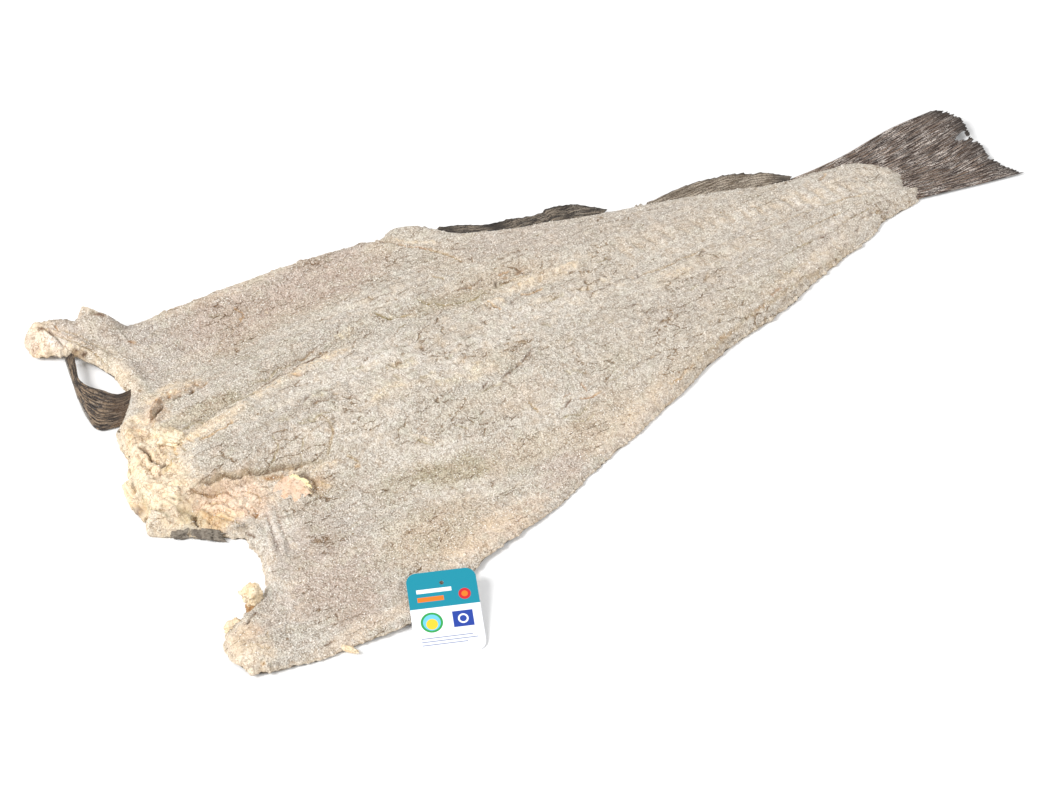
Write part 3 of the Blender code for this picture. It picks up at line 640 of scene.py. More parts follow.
def strokeShape(kind, width, distance, fine):
    # how high and how strongly tinted a stroke is at each distance from its line
    # a flake is a step with its tint just below it, at its foot; a dark tint there is painted shadow of the
    # step
    if kind == "flake":
        profile = ramp(-0.30 * width, 0.30 * width, distance) * bump(distance, 3.6 * width)
        return profile, 0.8 * bump(distance + 0.4 * width, 0.7 * width)
    # a crack is a groove with its tint along its floor: its own brown and painted shade of the groove
    if kind == "crack":
        profile = bump(distance, 0.60 * width) - 0.30 * bump(abs(distance) - 1.6 * width, 0.9 * width)
        return profile, np.clip(1.5 * bump(distance, 0.55 * width), 0, 1)
    if kind == "ridge":
        profile = 1 - ramp(0.20 * width, 0.62 * width, abs(distance))
        return profile, np.clip(0.62 + 0.9 * fine, 0.15, 1) * bump(distance, 0.7 * width)
    return bump(distance, 0.6 * width), 0.8 * bump(distance, 0.8 * width)  # a pit


waver = {"bend": 1.5, "fine": 0.8}  # how far in millimetres the strokes and patches stray
# thin cracks keep only part of their depth, and their tint stands in for the shade the rest would give:
# painted shade
thinCrack = {"under": 1.7, "depth": 0.65}  # cracks narrower than this have this share of their depth


def relief(x, y):
    # height to add at each place, and how much of each tint lies there; x and y in metres
    bends = clouds(x, y, 0.011, 1.0), clouds(x, y, 0.011, 2.0)
    fine = clouds(x, y, 0.0030, 3.0)
    height = np.zeros(len(x))
    amount = {name: np.zeros(len(x)) for name in tints}
    bentX = x / mm + waver["bend"] * bends[0] + waver["fine"] * fine
    bentY = y / mm + waver["bend"] * bends[1] - waver["fine"] * fine
    for tint, patches in blots.items():
        for midX, midY, sizeX, sizeY, turn, strength in patches:
            c, s = math.cos(math.radians(turn)), math.sin(math.radians(turn))
            dx, dy = bentX - midX, bentY - midY
            far = np.hypot((dx * c + dy * s) / sizeX, (dy * c - dx * s) / sizeY)
            far = far + 0.20 * bends[0] + 0.16 * fine
            amount[tint] = 1 - (1 - amount[tint]) * (1 - strength * (1 - ramp(0.45, 1.25, far)))
    for (kind, tint), rows in strokes.items():
        for width, tall, *line in rows:
            box, spread = np.array(line), 4 * width
            near = (bentX > box[:, 0].min() - spread) & (bentX < box[:, 0].max() + spread)
            near &= (bentY > box[:, 1].min() - spread) & (bentY < box[:, 1].max() + spread)
            distance, share = alongLine(bentX[near], bentY[near], line)
            ends = span(0, 0.15, 0.85, 1, share) if kind != "pit" else 1
            ends = ends * np.clip(0.95 + 0.5 * bends[1][near], 0.55, 1.2)
            profile, stain = strokeShape(kind, width, distance, fine[near])
            depth = thinCrack["depth"] if kind == "crack" and width < thinCrack["under"] else 1
            height[near] += depth * tall * mm * profile * ends
            amount[tint][near] = np.maximum(amount[tint][near], stain * np.clip(ends, 0, 1))
    return height + backbone(x, y, amount), amount


bones = {  # the backbone's marks: their middle line, spacing, slant, half width and height
    "line": ((0.43, 0.50, 0.54, 0.60, 0.64), (0.032, 0.029, 0.022, 0.014, 0.010)),
    "spacing": 0.0134, "slant": 0.18, "reach": 0.0095, "tall": 0.0007,
}


def backbone(x, y, amount):
    # the marks that the cut-out bones left towards the tail: pale bars with ochre hollows between
    middle = np.interp(x, *bones["line"])
    shown = bump(y - middle, bones["reach"]) * span(0.420, 0.440, 0.630, 0.655, x)
    turns = 2 * math.pi * (x + bones["slant"] * (y - middle)) / bones["spacing"]
    bars = np.cos(turns + 0.8 * clouds(x, y, 0.02, 7.0))
    amount["tan"] = np.maximum(amount["tan"], 0.75 * shown * ramp(0.0, 0.9, -bars))
    amount["pale"] = np.maximum(amount["pale"], 0.55 * shown * ramp(0.2, 0.9, bars))
    return bones["tall"] * shown * bars


flesh = {
    "cell": 0.00076, "floor": 0.0007, "least": 0.0016, "joints": (0.145, 0.290, 0.460),
    "bulges": (0.0008, 0.0006, 0.0, -0.0008),  # how far each ring of the cut edge stands out
    # the outline's raggedness, its share in waves of each size, and the seed of each
    "ragged": 0.0014, "waves": [(1, 0.026, 4.0), (0.8, 0.009, 5.0), (0.8, 0.0026, 6.0)],
    # how far in the edge is rounded and how much it falls: anywhere, then more or less of it where
    # the collar stands upright and where the near flap thins out
    "reach": (0.0070, -0.0045, 0.0090), "fall": (0.62, -0.45, 0.18),
    # heights of the fine relief, each with the size of its pattern and a seed
    "grain": (0.00050, 0.022, 8.0), "small": (0.00045, 0.008, 9.0), "fine": (0.00028, 0.0030, 10.0),
    "flakes": (0.00045, 0.0105, 11.0), "fibres": (0.0011, 0.042, 12.0), "torn": (0.0040, 0.014, 13.0),
    "lumps": (0.40, 0.0060, 14.0), "crinkles": (0.0012, 0.0085, 17.0),
}


def ragged(x, y):
    # how far the rough edge stands out or in at each place
    return flesh["ragged"] * sum(part * clouds(x, y, size, seed) for part, size, seed in flesh["waves"])


def fleshGrid(name, cell, grow):
    # a flat grid over the fish, without the cells outside its outline; grow lets it stand past it
    size = high - low
    bpy.ops.mesh.primitive_grid_add(
        x_subdivisions=int(size.x / cell), y_subdivisions=int(size.y / cell), size=1,
        location=(low + high) / 2,
    )
    bpy.context.object.scale = (size.x, size.y, 1)
    piece = named(name)
    x, y = onFish(coordinates(piece))
    rim, _ = toRim(x, y)
    rim = np.where(insideOutline(x, y), rim, -rim)
    deleteVertices(piece, rim + grow + ragged(x, y) < 0)
    startEdit(piece)
    bpy.ops.mesh.delete_loose(use_verts=True, use_edges=True, use_faces=False)
    endEdit()
    return piece


def snapRim(piece, grow):
    # draws the border out to the ragged outline, then evens it
    selectRim(piece)
    endEdit()
    count = len(piece.data.vertices)
    chosen = np.zeros(count, bool)
    edges = np.array([e.vertices[:] for e in piece.data.edges if e.select])
    chosen[edges.ravel()] = True
    co = coordinates(piece)
    _, nearest = toRim(*onFish(co[chosen]))
    onLine = outline[nearest]
    out = grow + ragged(onLine[:, 0], onLine[:, 1])
    for axis in (0, 1):
        co[chosen, axis] = nape[axis] + onLine[:, axis] + outward[nearest, axis] * out
    total, links = np.zeros((count, 3)), np.zeros(count)
    for a, b in (edges.T, edges.T[::-1]):
        np.add.at(total, a, co[b])
        np.add.at(links, a, 1)
    co[chosen] = 0.5 * co[chosen] + 0.5 * total[chosen] / links[chosen, None]
    place(piece, co)
    return chosen


def fleshHeight(x, y, rim):
    # the top of the flesh above the table, with its fine relief and its rounded edge
    def rough(name, shape=clouds, across=1):
        tall, size, seed = flesh[name]
        return tall * shape(x, y * across, size, seed)

    share = x / body["length"]
    loin = np.clip(loinShape(x, y), 0, 1)
    raw = np.clip(rawness(x, y), 0, 1)
    grain = rough("grain") + rough("small") + (1 - 0.5 * ramp(0.35, 0.70, share)) * rough("fine")
    flakes = loin * (1 - ramp(0.55, 0.75, share)) * rough("flakes", shape=plates)
    farFlap = bump(x - 0.20, 0.10) * ramp(0.085, 0.110, y)
    tall, size, seed = flesh["crinkles"]
    crumpled = ridges(0.6 * x + 0.2 * y, y, size, seed) - 0.75
    crinkles = tall * (0.35 + 0.65 * loin + 0.35 * farFlap) * crumpled
    fibres = ramp(0.18, 0.50, share) * (1 - 0.4 * ramp(0.75, 0.95, share)) * rough("fibres", across=6)
    tall, size, seed = flesh["torn"]
    torn = tall * raw * (ridges(x, y, size, seed) - 0.68 + rough("lumps"))
    upright = ramp(0.140, 0.150, y) * (1 - ramp(0.060, 0.075, x))
    thinning = ramp(0.30, 0.42, share) * ramp(0.0, 0.02, spine(x) - y)
    reach, fall = (
        plain + atCollar * upright + atFlap * thinning
        for plain, atCollar, atFlap in (flesh["reach"], flesh["fall"])
    )
    rounding = np.sqrt(1 - (1 - np.clip(rim / reach, 0, 1)) ** 2)
    edge = 1 - fall * (1 - rounding)
    return lift(x, y) + (thickness(x, y) + grain + flakes + crinkles * (1 - raw) + fibres + torn) * edge


def rawness(x, y):
    # the torn nape and the raw band under the near loin
    tornNape = bump(x - 0.024, 0.024) * bump(y - 0.010, 0.060)
    return tornNape + 0.9 * bump(np.hypot((x - 0.058) / 1.6, y + 0.045), 0.020)


chop = {"slope": (1.14, 0.646, -0.1056), "rough": 0.0005, "flap": 0.0178, "within": (0.030, 0.146)}


def collar(x, y, rim, height):
    # the far collar's turned-up flap, and its end chopped off by one flat cut
    flap = span(0.039, 0.046, 0.056, 0.076, x) * ramp(0.130, 0.150, y)
    height = height + chop["flap"] * flap * bump(rim - 0.0032, 0.0052)
    alongX, alongY, level = chop["slope"]
    chopped = alongX * x + alongY * y + level + chop["rough"] * clouds(x, y, 0.004, 16.0)
    cut = np.minimum(height, np.maximum(chopped, lift(x, y) + 0.004))
    return np.where((x < chop["within"][0]) & (y > chop["within"][1]), cut, height)


def crust(x, y, rim):
    # how thickly salt lies: most on the flaps, less on the loins
    flaps = 1 - loinShape(x, y)
    patchy = 0.75 + 0.5 * clouds(x, y, 0.018, 15.0)
    return np.clip((0.45 + 0.55 * flaps) * patchy, 0.03, 1) * ramp(0.001, 0.005, rim)


def makeFlesh():
    # one grid over the whole fish, shaped, then parted into sections that are closed one by one
    piece = fleshGrid("fleshTail", flesh["cell"], 0.0)
    border = snapRim(piece, 0.0)
    co = coordinates(piece)
    x, y = onFish(co)
    rim, _ = toRim(x, y)
    height, amount = relief(x, y)
    height = fleshHeight(x, y, rim) + height * (1 - 0.7 * bump(rim, 0.002))
    co[:, 2] = np.maximum(collar(x, y, rim, height), flesh["least"])
    place(piece, co)
    smooth = np.maximum.reduce([amount["cream"], amount["pink"], 0.7 * amount["peach"], 0.7 * amount["pale"]])
    smooth = np.maximum(0.75 * smooth, np.clip(rawness(x, y), 0, 1))
    # no salt lies in the cracks
    lines = np.maximum.reduce([amount["moss"], amount["brown"], 0.8 * amount["rust"]])
    amount["raw"] = np.maximum(smooth, 0.6 * lines)
    amount["crust"] = crust(x, y, rim) * (1 - 0.85 * smooth) * (1 - 0.9 * lines)
    amount["border"] = border
    for name, values in amount.items():
        attribute(piece, name, values)
    normals = readAll(piece.data.vertices, "normal", 3)
    kept = piece.data.attributes.new("sheetNormal", "FLOAT_VECTOR", "POINT")
    kept.data.foreach_set("vector", normals.ravel())
    sections = []
    for name, joint in zip(("fleshNape", "fleshFront", "fleshMiddle"), flesh["joints"]):
        pick(piece, "polygons", readAll(piece.data.polygons, "center", 3)[:, 0] < nape.x + joint)
        bpy.ops.mesh.separate(type="SELECTED")
        endEdit()
        part = next(each for each in bpy.context.selected_objects if each is not piece)
        part.name = part.data.name = name
        sections.append(part)
    sections.append(piece)
    for part in sections:
        closeSection(part)
    return sections


def closeSection(piece):
    # gives a section its rough edge and its underside; normals run on over the joints
    top = len(piece.data.vertices)
    for ring in range(len(flesh["bulges"])):
        sinkRim(piece, ring)
    bpy.ops.object.mode_set(mode="EDIT")
    bpy.ops.mesh.edge_face_add()  # the flat underside, which the skin covers
    endEdit()
    turnOutwards(piece)
    mesh = piece.data
    below = np.arange(len(mesh.vertices)) >= top
    attribute(piece, "wall", below)
    salted = readAll(mesh.attributes["crust"].data, "value")
    salted[below] = 0
    mesh.attributes["crust"].data.foreach_set("value", salted)
    turned = below | (readAll(mesh.attributes["border"].data, "value") > 0.5)
    own = readAll(mesh.vertices, "normal", 3)
    kept = readAll(mesh.attributes["sheetNormal"].data, "vector", 3)
    joined = np.where(turned[:, None], own, kept)
    for spare in ("sheetNormal", "border"):
        mesh.attributes.remove(mesh.attributes[spare])
    selectOnly(piece)
    bpy.ops.object.shade_smooth()
    mesh.normals_split_custom_set_from_vertices(joined)


def sinkRim(piece, ring):
    # one more ring of the rough cut edge, which bulges a little and turns under
    rings = len(flesh["bulges"])
    selectRim(piece)
    bpy.ops.mesh.extrude_region_move()
    endEdit()
    chosen = readAll(piece.data.vertices, "select", kind=bool)
    co = coordinates(piece)
    x, y = onFish(co[chosen])
    rim, nearest = toRim(x, y)
    bulge = flesh["bulges"][ring] + 0.0005 * clouds(x, y, 0.0040, 20.0 + ring)
    bulge = bulge * (1 - ramp(0.0040, 0.0060, rim))  # only at the fish's edge, not at a joint
    ground = lift(x, y) + flesh["floor"]
    for axis in (0, 1):
        co[chosen, axis] += outward[nearest, axis] * bulge
    co[chosen, 2] = ground + (co[chosen, 2] - ground) * (rings - 1 - ring) / (rings - ring)
    place(piece, co)


skinSheet = {"cell": 0.0052, "thick": 0.0007, "proud": 0.0005}


def makeSkin():
    # the fish's skin, under all of the flesh; it shows at the edges and from below
    piece = fleshGrid("skin", skinSheet["cell"], skinSheet["proud"])
    snapRim(piece, skinSheet["proud"])
    co = coordinates(piece)
    co[:, 2] = lift(*onFish(co))
    place(piece, co)
    modify(piece, "SOLIDIFY", thickness=skinSheet["thick"], offset=1.0)
    turnOutwards(piece)
    return piece


# fins and torn strips: rows of points from root to tips, in millimetres from the nape and the
# middle line, then the grid, the thickness at root and tip, the rays and how torn the tips are
fins = {
    "tailFin": {
        "rows": [
            [(622, -11, 2.6), (630, 4, 3.0), (598, 48, 3.0)],
            [(652, -16, 2.8), (660, 5, 3.4), (638, 47, 4.2)],
            [(681, -23, 2.4), (686, 6, 4.0), (668, 48.5, 6.0)],
            [(724, -32, 2.2), (724, 6, 4.6), (712, 54.0, 7.8)],
            [(777, -42, 2.0), (768, -27, 3.0), (764, -10, 4.2), (767, 2, 5.0), (765, 12, 5.8),
             (768, 22, 7.2), (771, 34, 8.4), (767, 48, 8.6), (757, 55, 8.4)],
        ],
        "across": 300, "along": 90, "thick": 1.5, "tip": 0.35, "rays": 26, "ray": 0.40, "ragged": 0.022,
        "sweep": 0.0, "stains": [(770, 19, 13), (776, -34, 8), (764, 52, 7)],
        "hole": [(750, 17), (762, 22), (761, 12)],
    },
    "frontAnalFin": {
        "rows": [
            [(326, 128, 3.5), (365, 102, 3.5), (405, 90, 3.5), (452, 75, 3.5)],
            [(330, 139, 5.0), (372, 114, 7.0), (414, 102, 7.5), (452, 86, 5.5)],
            [(334, 141.5, 5.5), (348, 134, 7.0), (366, 123, 7.6), (382, 119.5, 8.4), (398, 113.5, 8.8),
             (420, 111.5, 10.4), (438, 106, 9.4), (459, 90, 6.6)],
        ],
        "across": 220, "along": 30, "thick": 1.5, "tip": 0.4, "rays": 9, "ray": 0.40, "ragged": 0.10,
        "sweep": -1.0, "stains": [(372, 118, 9), (340, 138, 7)],
    },
    "rearAnalFin": {
        "rows": [
            [(486, 70, 3.5), (515, 60, 3.5), (550, 48, 3.5), (596, 33, 3.5)],
            [(488, 78, 5.0), (522, 71, 6.0), (560, 62, 6.5), (602, 44, 5.0)],
            [(491, 81.5, 5.5), (532, 81, 7.8), (562, 75, 8.6), (588, 64, 8.0), (609, 48, 6.0)],
        ],
        "across": 200, "along": 34, "thick": 1.4, "tip": 0.4, "rays": 8, "ray": 0.36, "ragged": 0.08,
        "sweep": -1.0, "stains": [(600, 47, 8)],
    },
    "pectoralFin": {
        "rows": [
            [(50, 70, 2.6), (54, 86, 4.5), (56, 100, 7.0)],
            [(26, 73.5, 2.1), (32, 86, 3.4), (37, 98, 8.0)],
            [(12.5, 77.5, 2.0), (19, 92, 4.2), (28, 106, 10.5)],
            [(10, 92, 2.6), (14, 102, 7.0), (20, 113, 13.0)],
            [(11, 110, 5.5), (14, 117, 9.2), (17.5, 123, 13.0)],
            [(15, 133, 8.5), (18, 136, 10.2), (22, 139, 11.8)],
            [(18.5, 152, 9.5), (22, 153, 10.2), (26, 154, 11.0)],
        ],
        "across": 70, "along": 240, "thick": 1.6, "tip": 0.7, "rays": 11, "ray": 0.30, "ragged": 0.03,
        "sweep": 0.0, "stains": [(40, 102, 9)],
    },
    "napeStub": {
        "rows": [
            [(2, -22, 2.6), (9, -22, 4)], [(0.5, -8, 5), (7.5, -9, 6)],
            [(1, 4, 7), (6.5, 3, 7.5)], [(3, 13, 8.5), (7, 14, 8.5)],
        ],
        "across": 24, "along": 80, "thick": 4.0, "tip": 2.6, "rays": 2, "ray": 0.5, "ragged": 0.04,
        "sweep": 0.6, "stains": [(2, -14, 5)],
    },
    "tornFlap": {  # the tongue under the near loin's step; heights are above the flesh
        "rows": [
            [(84, -44, -1.6), (86, -50, -1.6), (91, -59, -1.6), (98, -66, -1.6)],
            [(95, -41, -0.5), (98, -47, -0.2), (101, -56, -0.3), (106, -63, -0.7)],
            [(104, -39, 0.6), (108, -45, 1.2), (110.5, -53, 1.0), (112, -61, 0.1)],
            [(111, -38, 1.2), (116, -45, 2.8), (118.5, -53, 2.4), (115.5, -62, 0.4)],
        ],
        "across": 90, "along": 70, "thick": 1.2, "tip": 0.6, "rays": 3, "ray": 0.45, "ragged": 0.10,
        "sweep": 0.5, "stains": [], "onFlesh": True,
    },
}


def resampled(line, at):
    own = np.linspace(0, 1, len(line))
    return np.stack([np.interp(at, own, line[:, k]) for k in range(3)], 1)


def makeFin(name):
    # a grid laid over the rows, with a ridge for each ray and torn tips, then given its thickness
    fin = fins[name]
    across, along = fin["across"], fin["along"]
    bpy.ops.mesh.primitive_grid_add(x_subdivisions=along, y_subdivisions=across, size=1)
    piece = named(name)
    flat = coordinates(piece)
    u, v = flat[:, 0] + 0.5, flat[:, 1] + 0.5
    lines = [resampled(smoothLine(row), np.linspace(0, 1, across + 1)) for row in fin["rows"]]
    ribs = [smoothLine([line[rib] for line in lines]) for rib in range(across + 1)]
    even = np.linspace(0, 1, along + 1)
    sheet = np.array([resampled(rib, even) for rib in ribs])
    normal = np.cross(np.gradient(sheet, axis=1), np.gradient(sheet, axis=0))
    normal /= np.linalg.norm(normal, axis=2)[:, :, None]
    normal *= np.sign(normal[..., 2].mean())
    for number, rib in enumerate(ribs):  # each stretch between two rays ends a little short
        spot = number / across * fin["rays"]
        split = noise.fractal(Vector((spot * 0.8, 5, 0)), 0.6, 2.2, 3)
        short = 1.3 * abs(split) + 0.15 * abs(math.cos(math.pi * spot))
        sheet[number] = resampled(rib, even * (1 - fin["ragged"] * short))
    i, j = np.rint(u * along).astype(int), np.rint(v * across).astype(int)
    turns = 2 * math.pi * fin["rays"] * (v + fin["sweep"] * u)
    rays = np.cos(turns + 1.2 * clouds(u, v, 0.3, 4.0)) * ramp(0.05, 0.35, u)
    rough = 0.5 * clouds(u, v, 0.05, 6.0)
    co = sheet[j, i] + normal[j, i] * (fin["ray"] * rays + 0.25 * rough)[:, None]
    stain = np.zeros(len(co))
    for x, y, size in fin["stains"]:
        stain = np.maximum(stain, bump(np.hypot(co[:, 0] - x, co[:, 1] - y), size))
    hole = insideCorners(co, fin["hole"]) if "hole" in fin else None
    if "onFlesh" in fin:
        x, y = co[:, 0] * mm, co[:, 1] * mm
        co[:, 2] += fleshHeight(x, y, toRim(x, y)[0]) / mm
    place(piece, co * mm + np.array(nape))
    for layer, values in (("toTip", u), ("acrossFin", v), ("ray", rays), ("stain", stain)):
        attribute(piece, layer, values)
    thin, tip = piece.vertex_groups.new(name="thin"), fin["tip"] / fin["thick"]
    for index, share in enumerate(u):
        thin.add([index], tip + (1 - tip) * (1 - share) ** 0.7, "REPLACE")
    if hole is not None:
        deleteVertices(piece, hole)
    modify(piece, "SOLIDIFY", thickness=fin["thick"] * mm, offset=0.0, vertex_group="thin")
    turnOutwards(piece)
    return piece


def insideCorners(co, corners):
    # the points of co within the corners, which run round the hole
    inside = np.ones(len(co), bool)
    for (ax, ay), (bx, by) in zip(corners, corners[1:] + corners[:1]):
        inside &= (bx - ax) * (co[:, 1] - ay) - (by - ay) * (co[:, 0] - ax) < 0
    return inside


# loose ends: middle and half sizes in millimetres, turns in degrees
scraps = {
    "slateScrapA": {"look": "slaty", "middle": (19.5, -46.2, 3.6), "size": (6.0, 4.0, 3.0),
                    "turn": (0, 0, -24), "rough": 0.55},
    "slateScrapB": {"look": "slaty", "middle": (34.5, -57.2, 3.6), "size": (10.5, 3.4, 3.0),
                    "turn": (0, 0, -44), "rough": 0.55},
    "napeChunk": {"look": "bright", "middle": (48, 29.0, 0.6), "size": (10.0, 7.5, 3.2),
                  "turn": (0, 8, -30), "rough": 0.34, "onFlesh": True},
    "notchKnob": {"look": "creamy", "middle": (34.5, -128, 10.0), "size": (7.2, 6.4, 6.4),
                  "turn": (0, 0, 10), "rough": 0.36},
    "knobStalk": {"look": "woody", "middle": (36, -133.5, 3.6), "size": (7.5, 5.0, 3.4),
                  "turn": (0, 0, -14), "rough": 0.35},
    "lobeScrap": {"look": "creamy", "middle": (13.5, -142.5, 4.6), "size": (6.5, 5.5, 2.8),
                  "turn": (0, 6, 20), "rough": 0.32},
    "boneSliver": {"look": "creamy", "middle": (69.5, -196.5, 3.4), "size": (9.5, 2.0, 1.7),
                   "turn": (0, 0, -52), "rough": 0.25},
}
lowest = 0.4  # millimetres that every scrap stays above the table


def makeScrap(name, number):
    # a ball squared a little, roughened, turned and set down
    scrap = scraps[name]
    bpy.ops.mesh.primitive_ico_sphere_add(subdivisions=5, radius=1)
    piece = named(name)
    co = coordinates(piece)
    squared = np.sign(co) * np.abs(co) ** 0.75
    away = Vector((number, 0, 0))
    grow = [1 + scrap["rough"] * noise.fractal(Vector(p) * 1.7 + away, 0.8, 2.1, 4) for p in co]
    shaped = squared * np.array(scrap["size"]) * np.array(grow)[:, None]
    turn = Matrix.Identity(3)
    for axis, angle in zip("XYZ", scrap["turn"]):
        turn = turn @ Matrix.Rotation(math.radians(angle), 3, axis)
    co = shaped @ np.array(turn).T + np.array(scrap["middle"])
    if "onFlesh" in scrap:
        x, y, _ = np.array(scrap["middle"]).reshape(3, 1) * mm
        co[:, 2] += (fleshHeight(x, y, toRim(x, y)[0]) / mm).item()
    co[:, 2] = np.maximum(co[:, 2], lowest)
    place(piece, co * mm + np.array(nape))
    return piece


salts = {  # size in millimetres, grains on each square centimetre where the crust is thickest
    "saltCoarse": {"size": (0.50, 0.95), "count": 7.0, "shape": "cube", "seed": 3},
    "saltFine": {"size": (0.32, 0.75), "count": 40.0, "shape": "spike", "seed": 11},
}
perSquareMetre = 1e4


def scatterSalt(name, sections):
    # crystals spread over the flesh by Geometry Nodes, as many as its crust attribute asks for
    grain = salts[name]
    if grain["shape"] == "cube":
        bpy.ops.mesh.primitive_cube_add(size=1)
    else:
        bpy.ops.mesh.primitive_cone_add(vertices=3, radius1=0.6, radius2=0, depth=0.85)
    crystal = named(name + "Crystal")
    bpy.ops.mesh.primitive_plane_add(size=0.01)
    piece = named(name)
    tree = bpy.data.node_groups.new(name + "Scatter", "GeometryNodeTree")
    tree.interface.new_socket("Geometry", in_out="OUTPUT", socket_type="NodeSocketGeometry")
    sheet = Wire(tree)
    ground = sheet.make("GeometryNodeJoinGeometry", {}, {})
    for section in sections:
        source = sheet.make("GeometryNodeObjectInfo", {}, {"Object": section}, "Geometry")
        source.feed(ground.socket.node.inputs[0])
    shape = sheet.make("GeometryNodeObjectInfo", {}, {"Object": crystal}, "Geometry")
    kind = {"data_type": "FLOAT"}
    cover = sheet.make("GeometryNodeInputNamedAttribute", kind, {"Name": "crust"}, "Attribute")
    spread = {"Mesh": ground, "Density": cover * (grain["count"] * perSquareMetre), "Seed": grain["seed"]}
    points = sheet.make("GeometryNodeDistributePointsOnFaces", {}, spread, "Points")

    def chance(least, most, **more):
        settings = {"data_type": "FLOAT_VECTOR"}
        return sheet.make("FunctionNodeRandomValue", settings, {0: least, 1: most, **more}, 0)

    whole = 2 * math.pi
    turn = chance((0, 0, 0), (whole, whole, whole))
    size = chance(*(Vector((a, a, a)) * mm for a in grain["size"]), Seed=5)
    copies = {"Points": points, "Instance": shape, "Rotation": turn, "Scale": size}
    grains = sheet.make("GeometryNodeInstanceOnPoints", {}, copies, "Instances")
    solid = sheet.make("GeometryNodeRealizeInstances", {}, {"Geometry": grains}, "Geometry")
    sheet.make("NodeGroupOutput", {}, {"Geometry": solid}, None)
    modify(piece, "NODES", node_group=tree)
    bpy.data.objects.remove(crystal)
    return piece


# a socket whose sums add Math nodes; it also makes any other node beside it
class Wire:
    def __init__(self, tree, socket=None):
        self.tree, self.socket = tree, socket

    def make(self, kind, settings, inputs, output=0):
        node = self.tree.nodes.new(kind)
        for name, value in settings.items():
            setattr(node, name, value)
        for name, value in inputs.items():
            if isinstance(value, Wire):
                self.tree.links.new(value.socket, node.inputs[name])
            else:
                node.inputs[name].default_value = value
        return None if output is None else Wire(self.tree, node.outputs[output])

    def sum(self, operation, first, second=0.0):
        return self.make("ShaderNodeMath", {"operation": operation}, {0: first, 1: second})

    def __add__(self, other):
        return self.sum("ADD", self, other)

    def __sub__(self, other):
        return self.sum("SUBTRACT", self, other)

    def __rsub__(self, other):
        return self.sum("SUBTRACT", other, self)

    def __mul__(self, other):
        return self.sum("MULTIPLY", self, other)

    __radd__, __rmul__ = __add__, __mul__

    def between(self, start, stop):
        # 0 below start, 1 above stop, soft between
        settings = {"interpolation_type": "SMOOTHSTEP"}
        inputs = {"Value": self, "From Min": start, "From Max": stop}
        return self.make("ShaderNodeMapRange", settings, inputs)

    def outside(self, start, stop):
        # 1 below start, 0 above stop
        return 1 - self.between(start, stop)

    def towards(self, factor, other, blend="MIX"):
        settings = {"data_type": "RGBA", "blend_type": blend}
        return self.make("ShaderNodeMix", settings, {0: factor, 6: self, 7: other}, 2)

    def near(self, middle, width):
        # 1 where the value is at the middle, 0 further off than the width
        return self.sum("ABSOLUTE", self - middle).outside(0.0, width)

    def layer(self, name):
        return self.make("ShaderNodeAttribute", {"attribute_name": name}, {}, "Fac")

    def mapped(self, scale, turn=(0, 0, 0)):
        return self.make("ShaderNodeMapping", {}, {"Vector": self, "Rotation": turn, "Scale": scale})

    def noise(self, scale, detail, rough, output=0, **more):
        inputs = {"Vector": self, "Scale": scale, "Detail": detail, "Roughness": rough, **more}
        return self.make("ShaderNodeTexNoise", {}, inputs, output)

    def cells(self, scale, feature="F1"):
        inputs = {"Vector": self, "Scale": scale}
        return self.make("ShaderNodeTexVoronoi", {"feature": feature}, inputs, "Distance")

    def feed(self, socket):
        self.tree.links.new(self.socket, socket)


def tone(code):
    # a colour written as on a paint card, in the renderer's linear numbers
    shares = [int(code[k : k + 2], 16) / 255 for k in (0, 2, 4)]
    return (*((c / 12.92 if c <= 0.04045 else ((c + 0.055) / 1.055) ** 2.4) for c in shares), 1.0)


def sockets(made):
    return made.node_tree.nodes["Principled BSDF"].inputs


def newFinish(name, roughness):
    # a material, and the object's own coordinates to lay its pattern by
    made = bpy.data.materials.new(name)
    made.use_nodes = True
    sockets(made)["Roughness"].default_value = roughness
    return made, Wire(made.node_tree).make("ShaderNodeTexCoord", {}, {}, "Object")


def colourOf(made, base, layers):
    # the base colour with each layer over it in turn: how much of it, its tone, how it is laid on
    colour = Wire(made.node_tree).make("ShaderNodeRGB", {}, {})
    colour.socket.default_value = tone(base)
    for share, code, *blend in layers:
        colour = colour.towards(share, tone(code), *blend)
    colour.feed(sockets(made)["Base Color"])


def reliefOf(made, height, strength, distance):
    inputs = {"Strength": strength, "Distance": distance, "Height": height}
    bumps = height.make("ShaderNodeBump", {}, inputs)
    bumps.feed(sockets(made)["Normal"])


fleshTones = {
    "base": "E0DACF", "cream": "F3E0C4", "pale": "EDE7DF", "lemon": "F1E4C6", "pink": "F2D2B6",
    "peach": "F1DCC6", "tan": "DDC8AB", "straw": "BC9F6C", "mauve": "D2C0B4", "grey": "D0C7BF",
    "olive": "C2B696", "ochre": "E0B67A", "moss": "7D6912", "rust": "B08250", "slate": "7F7B75",
    "brown": "6B4824",
}


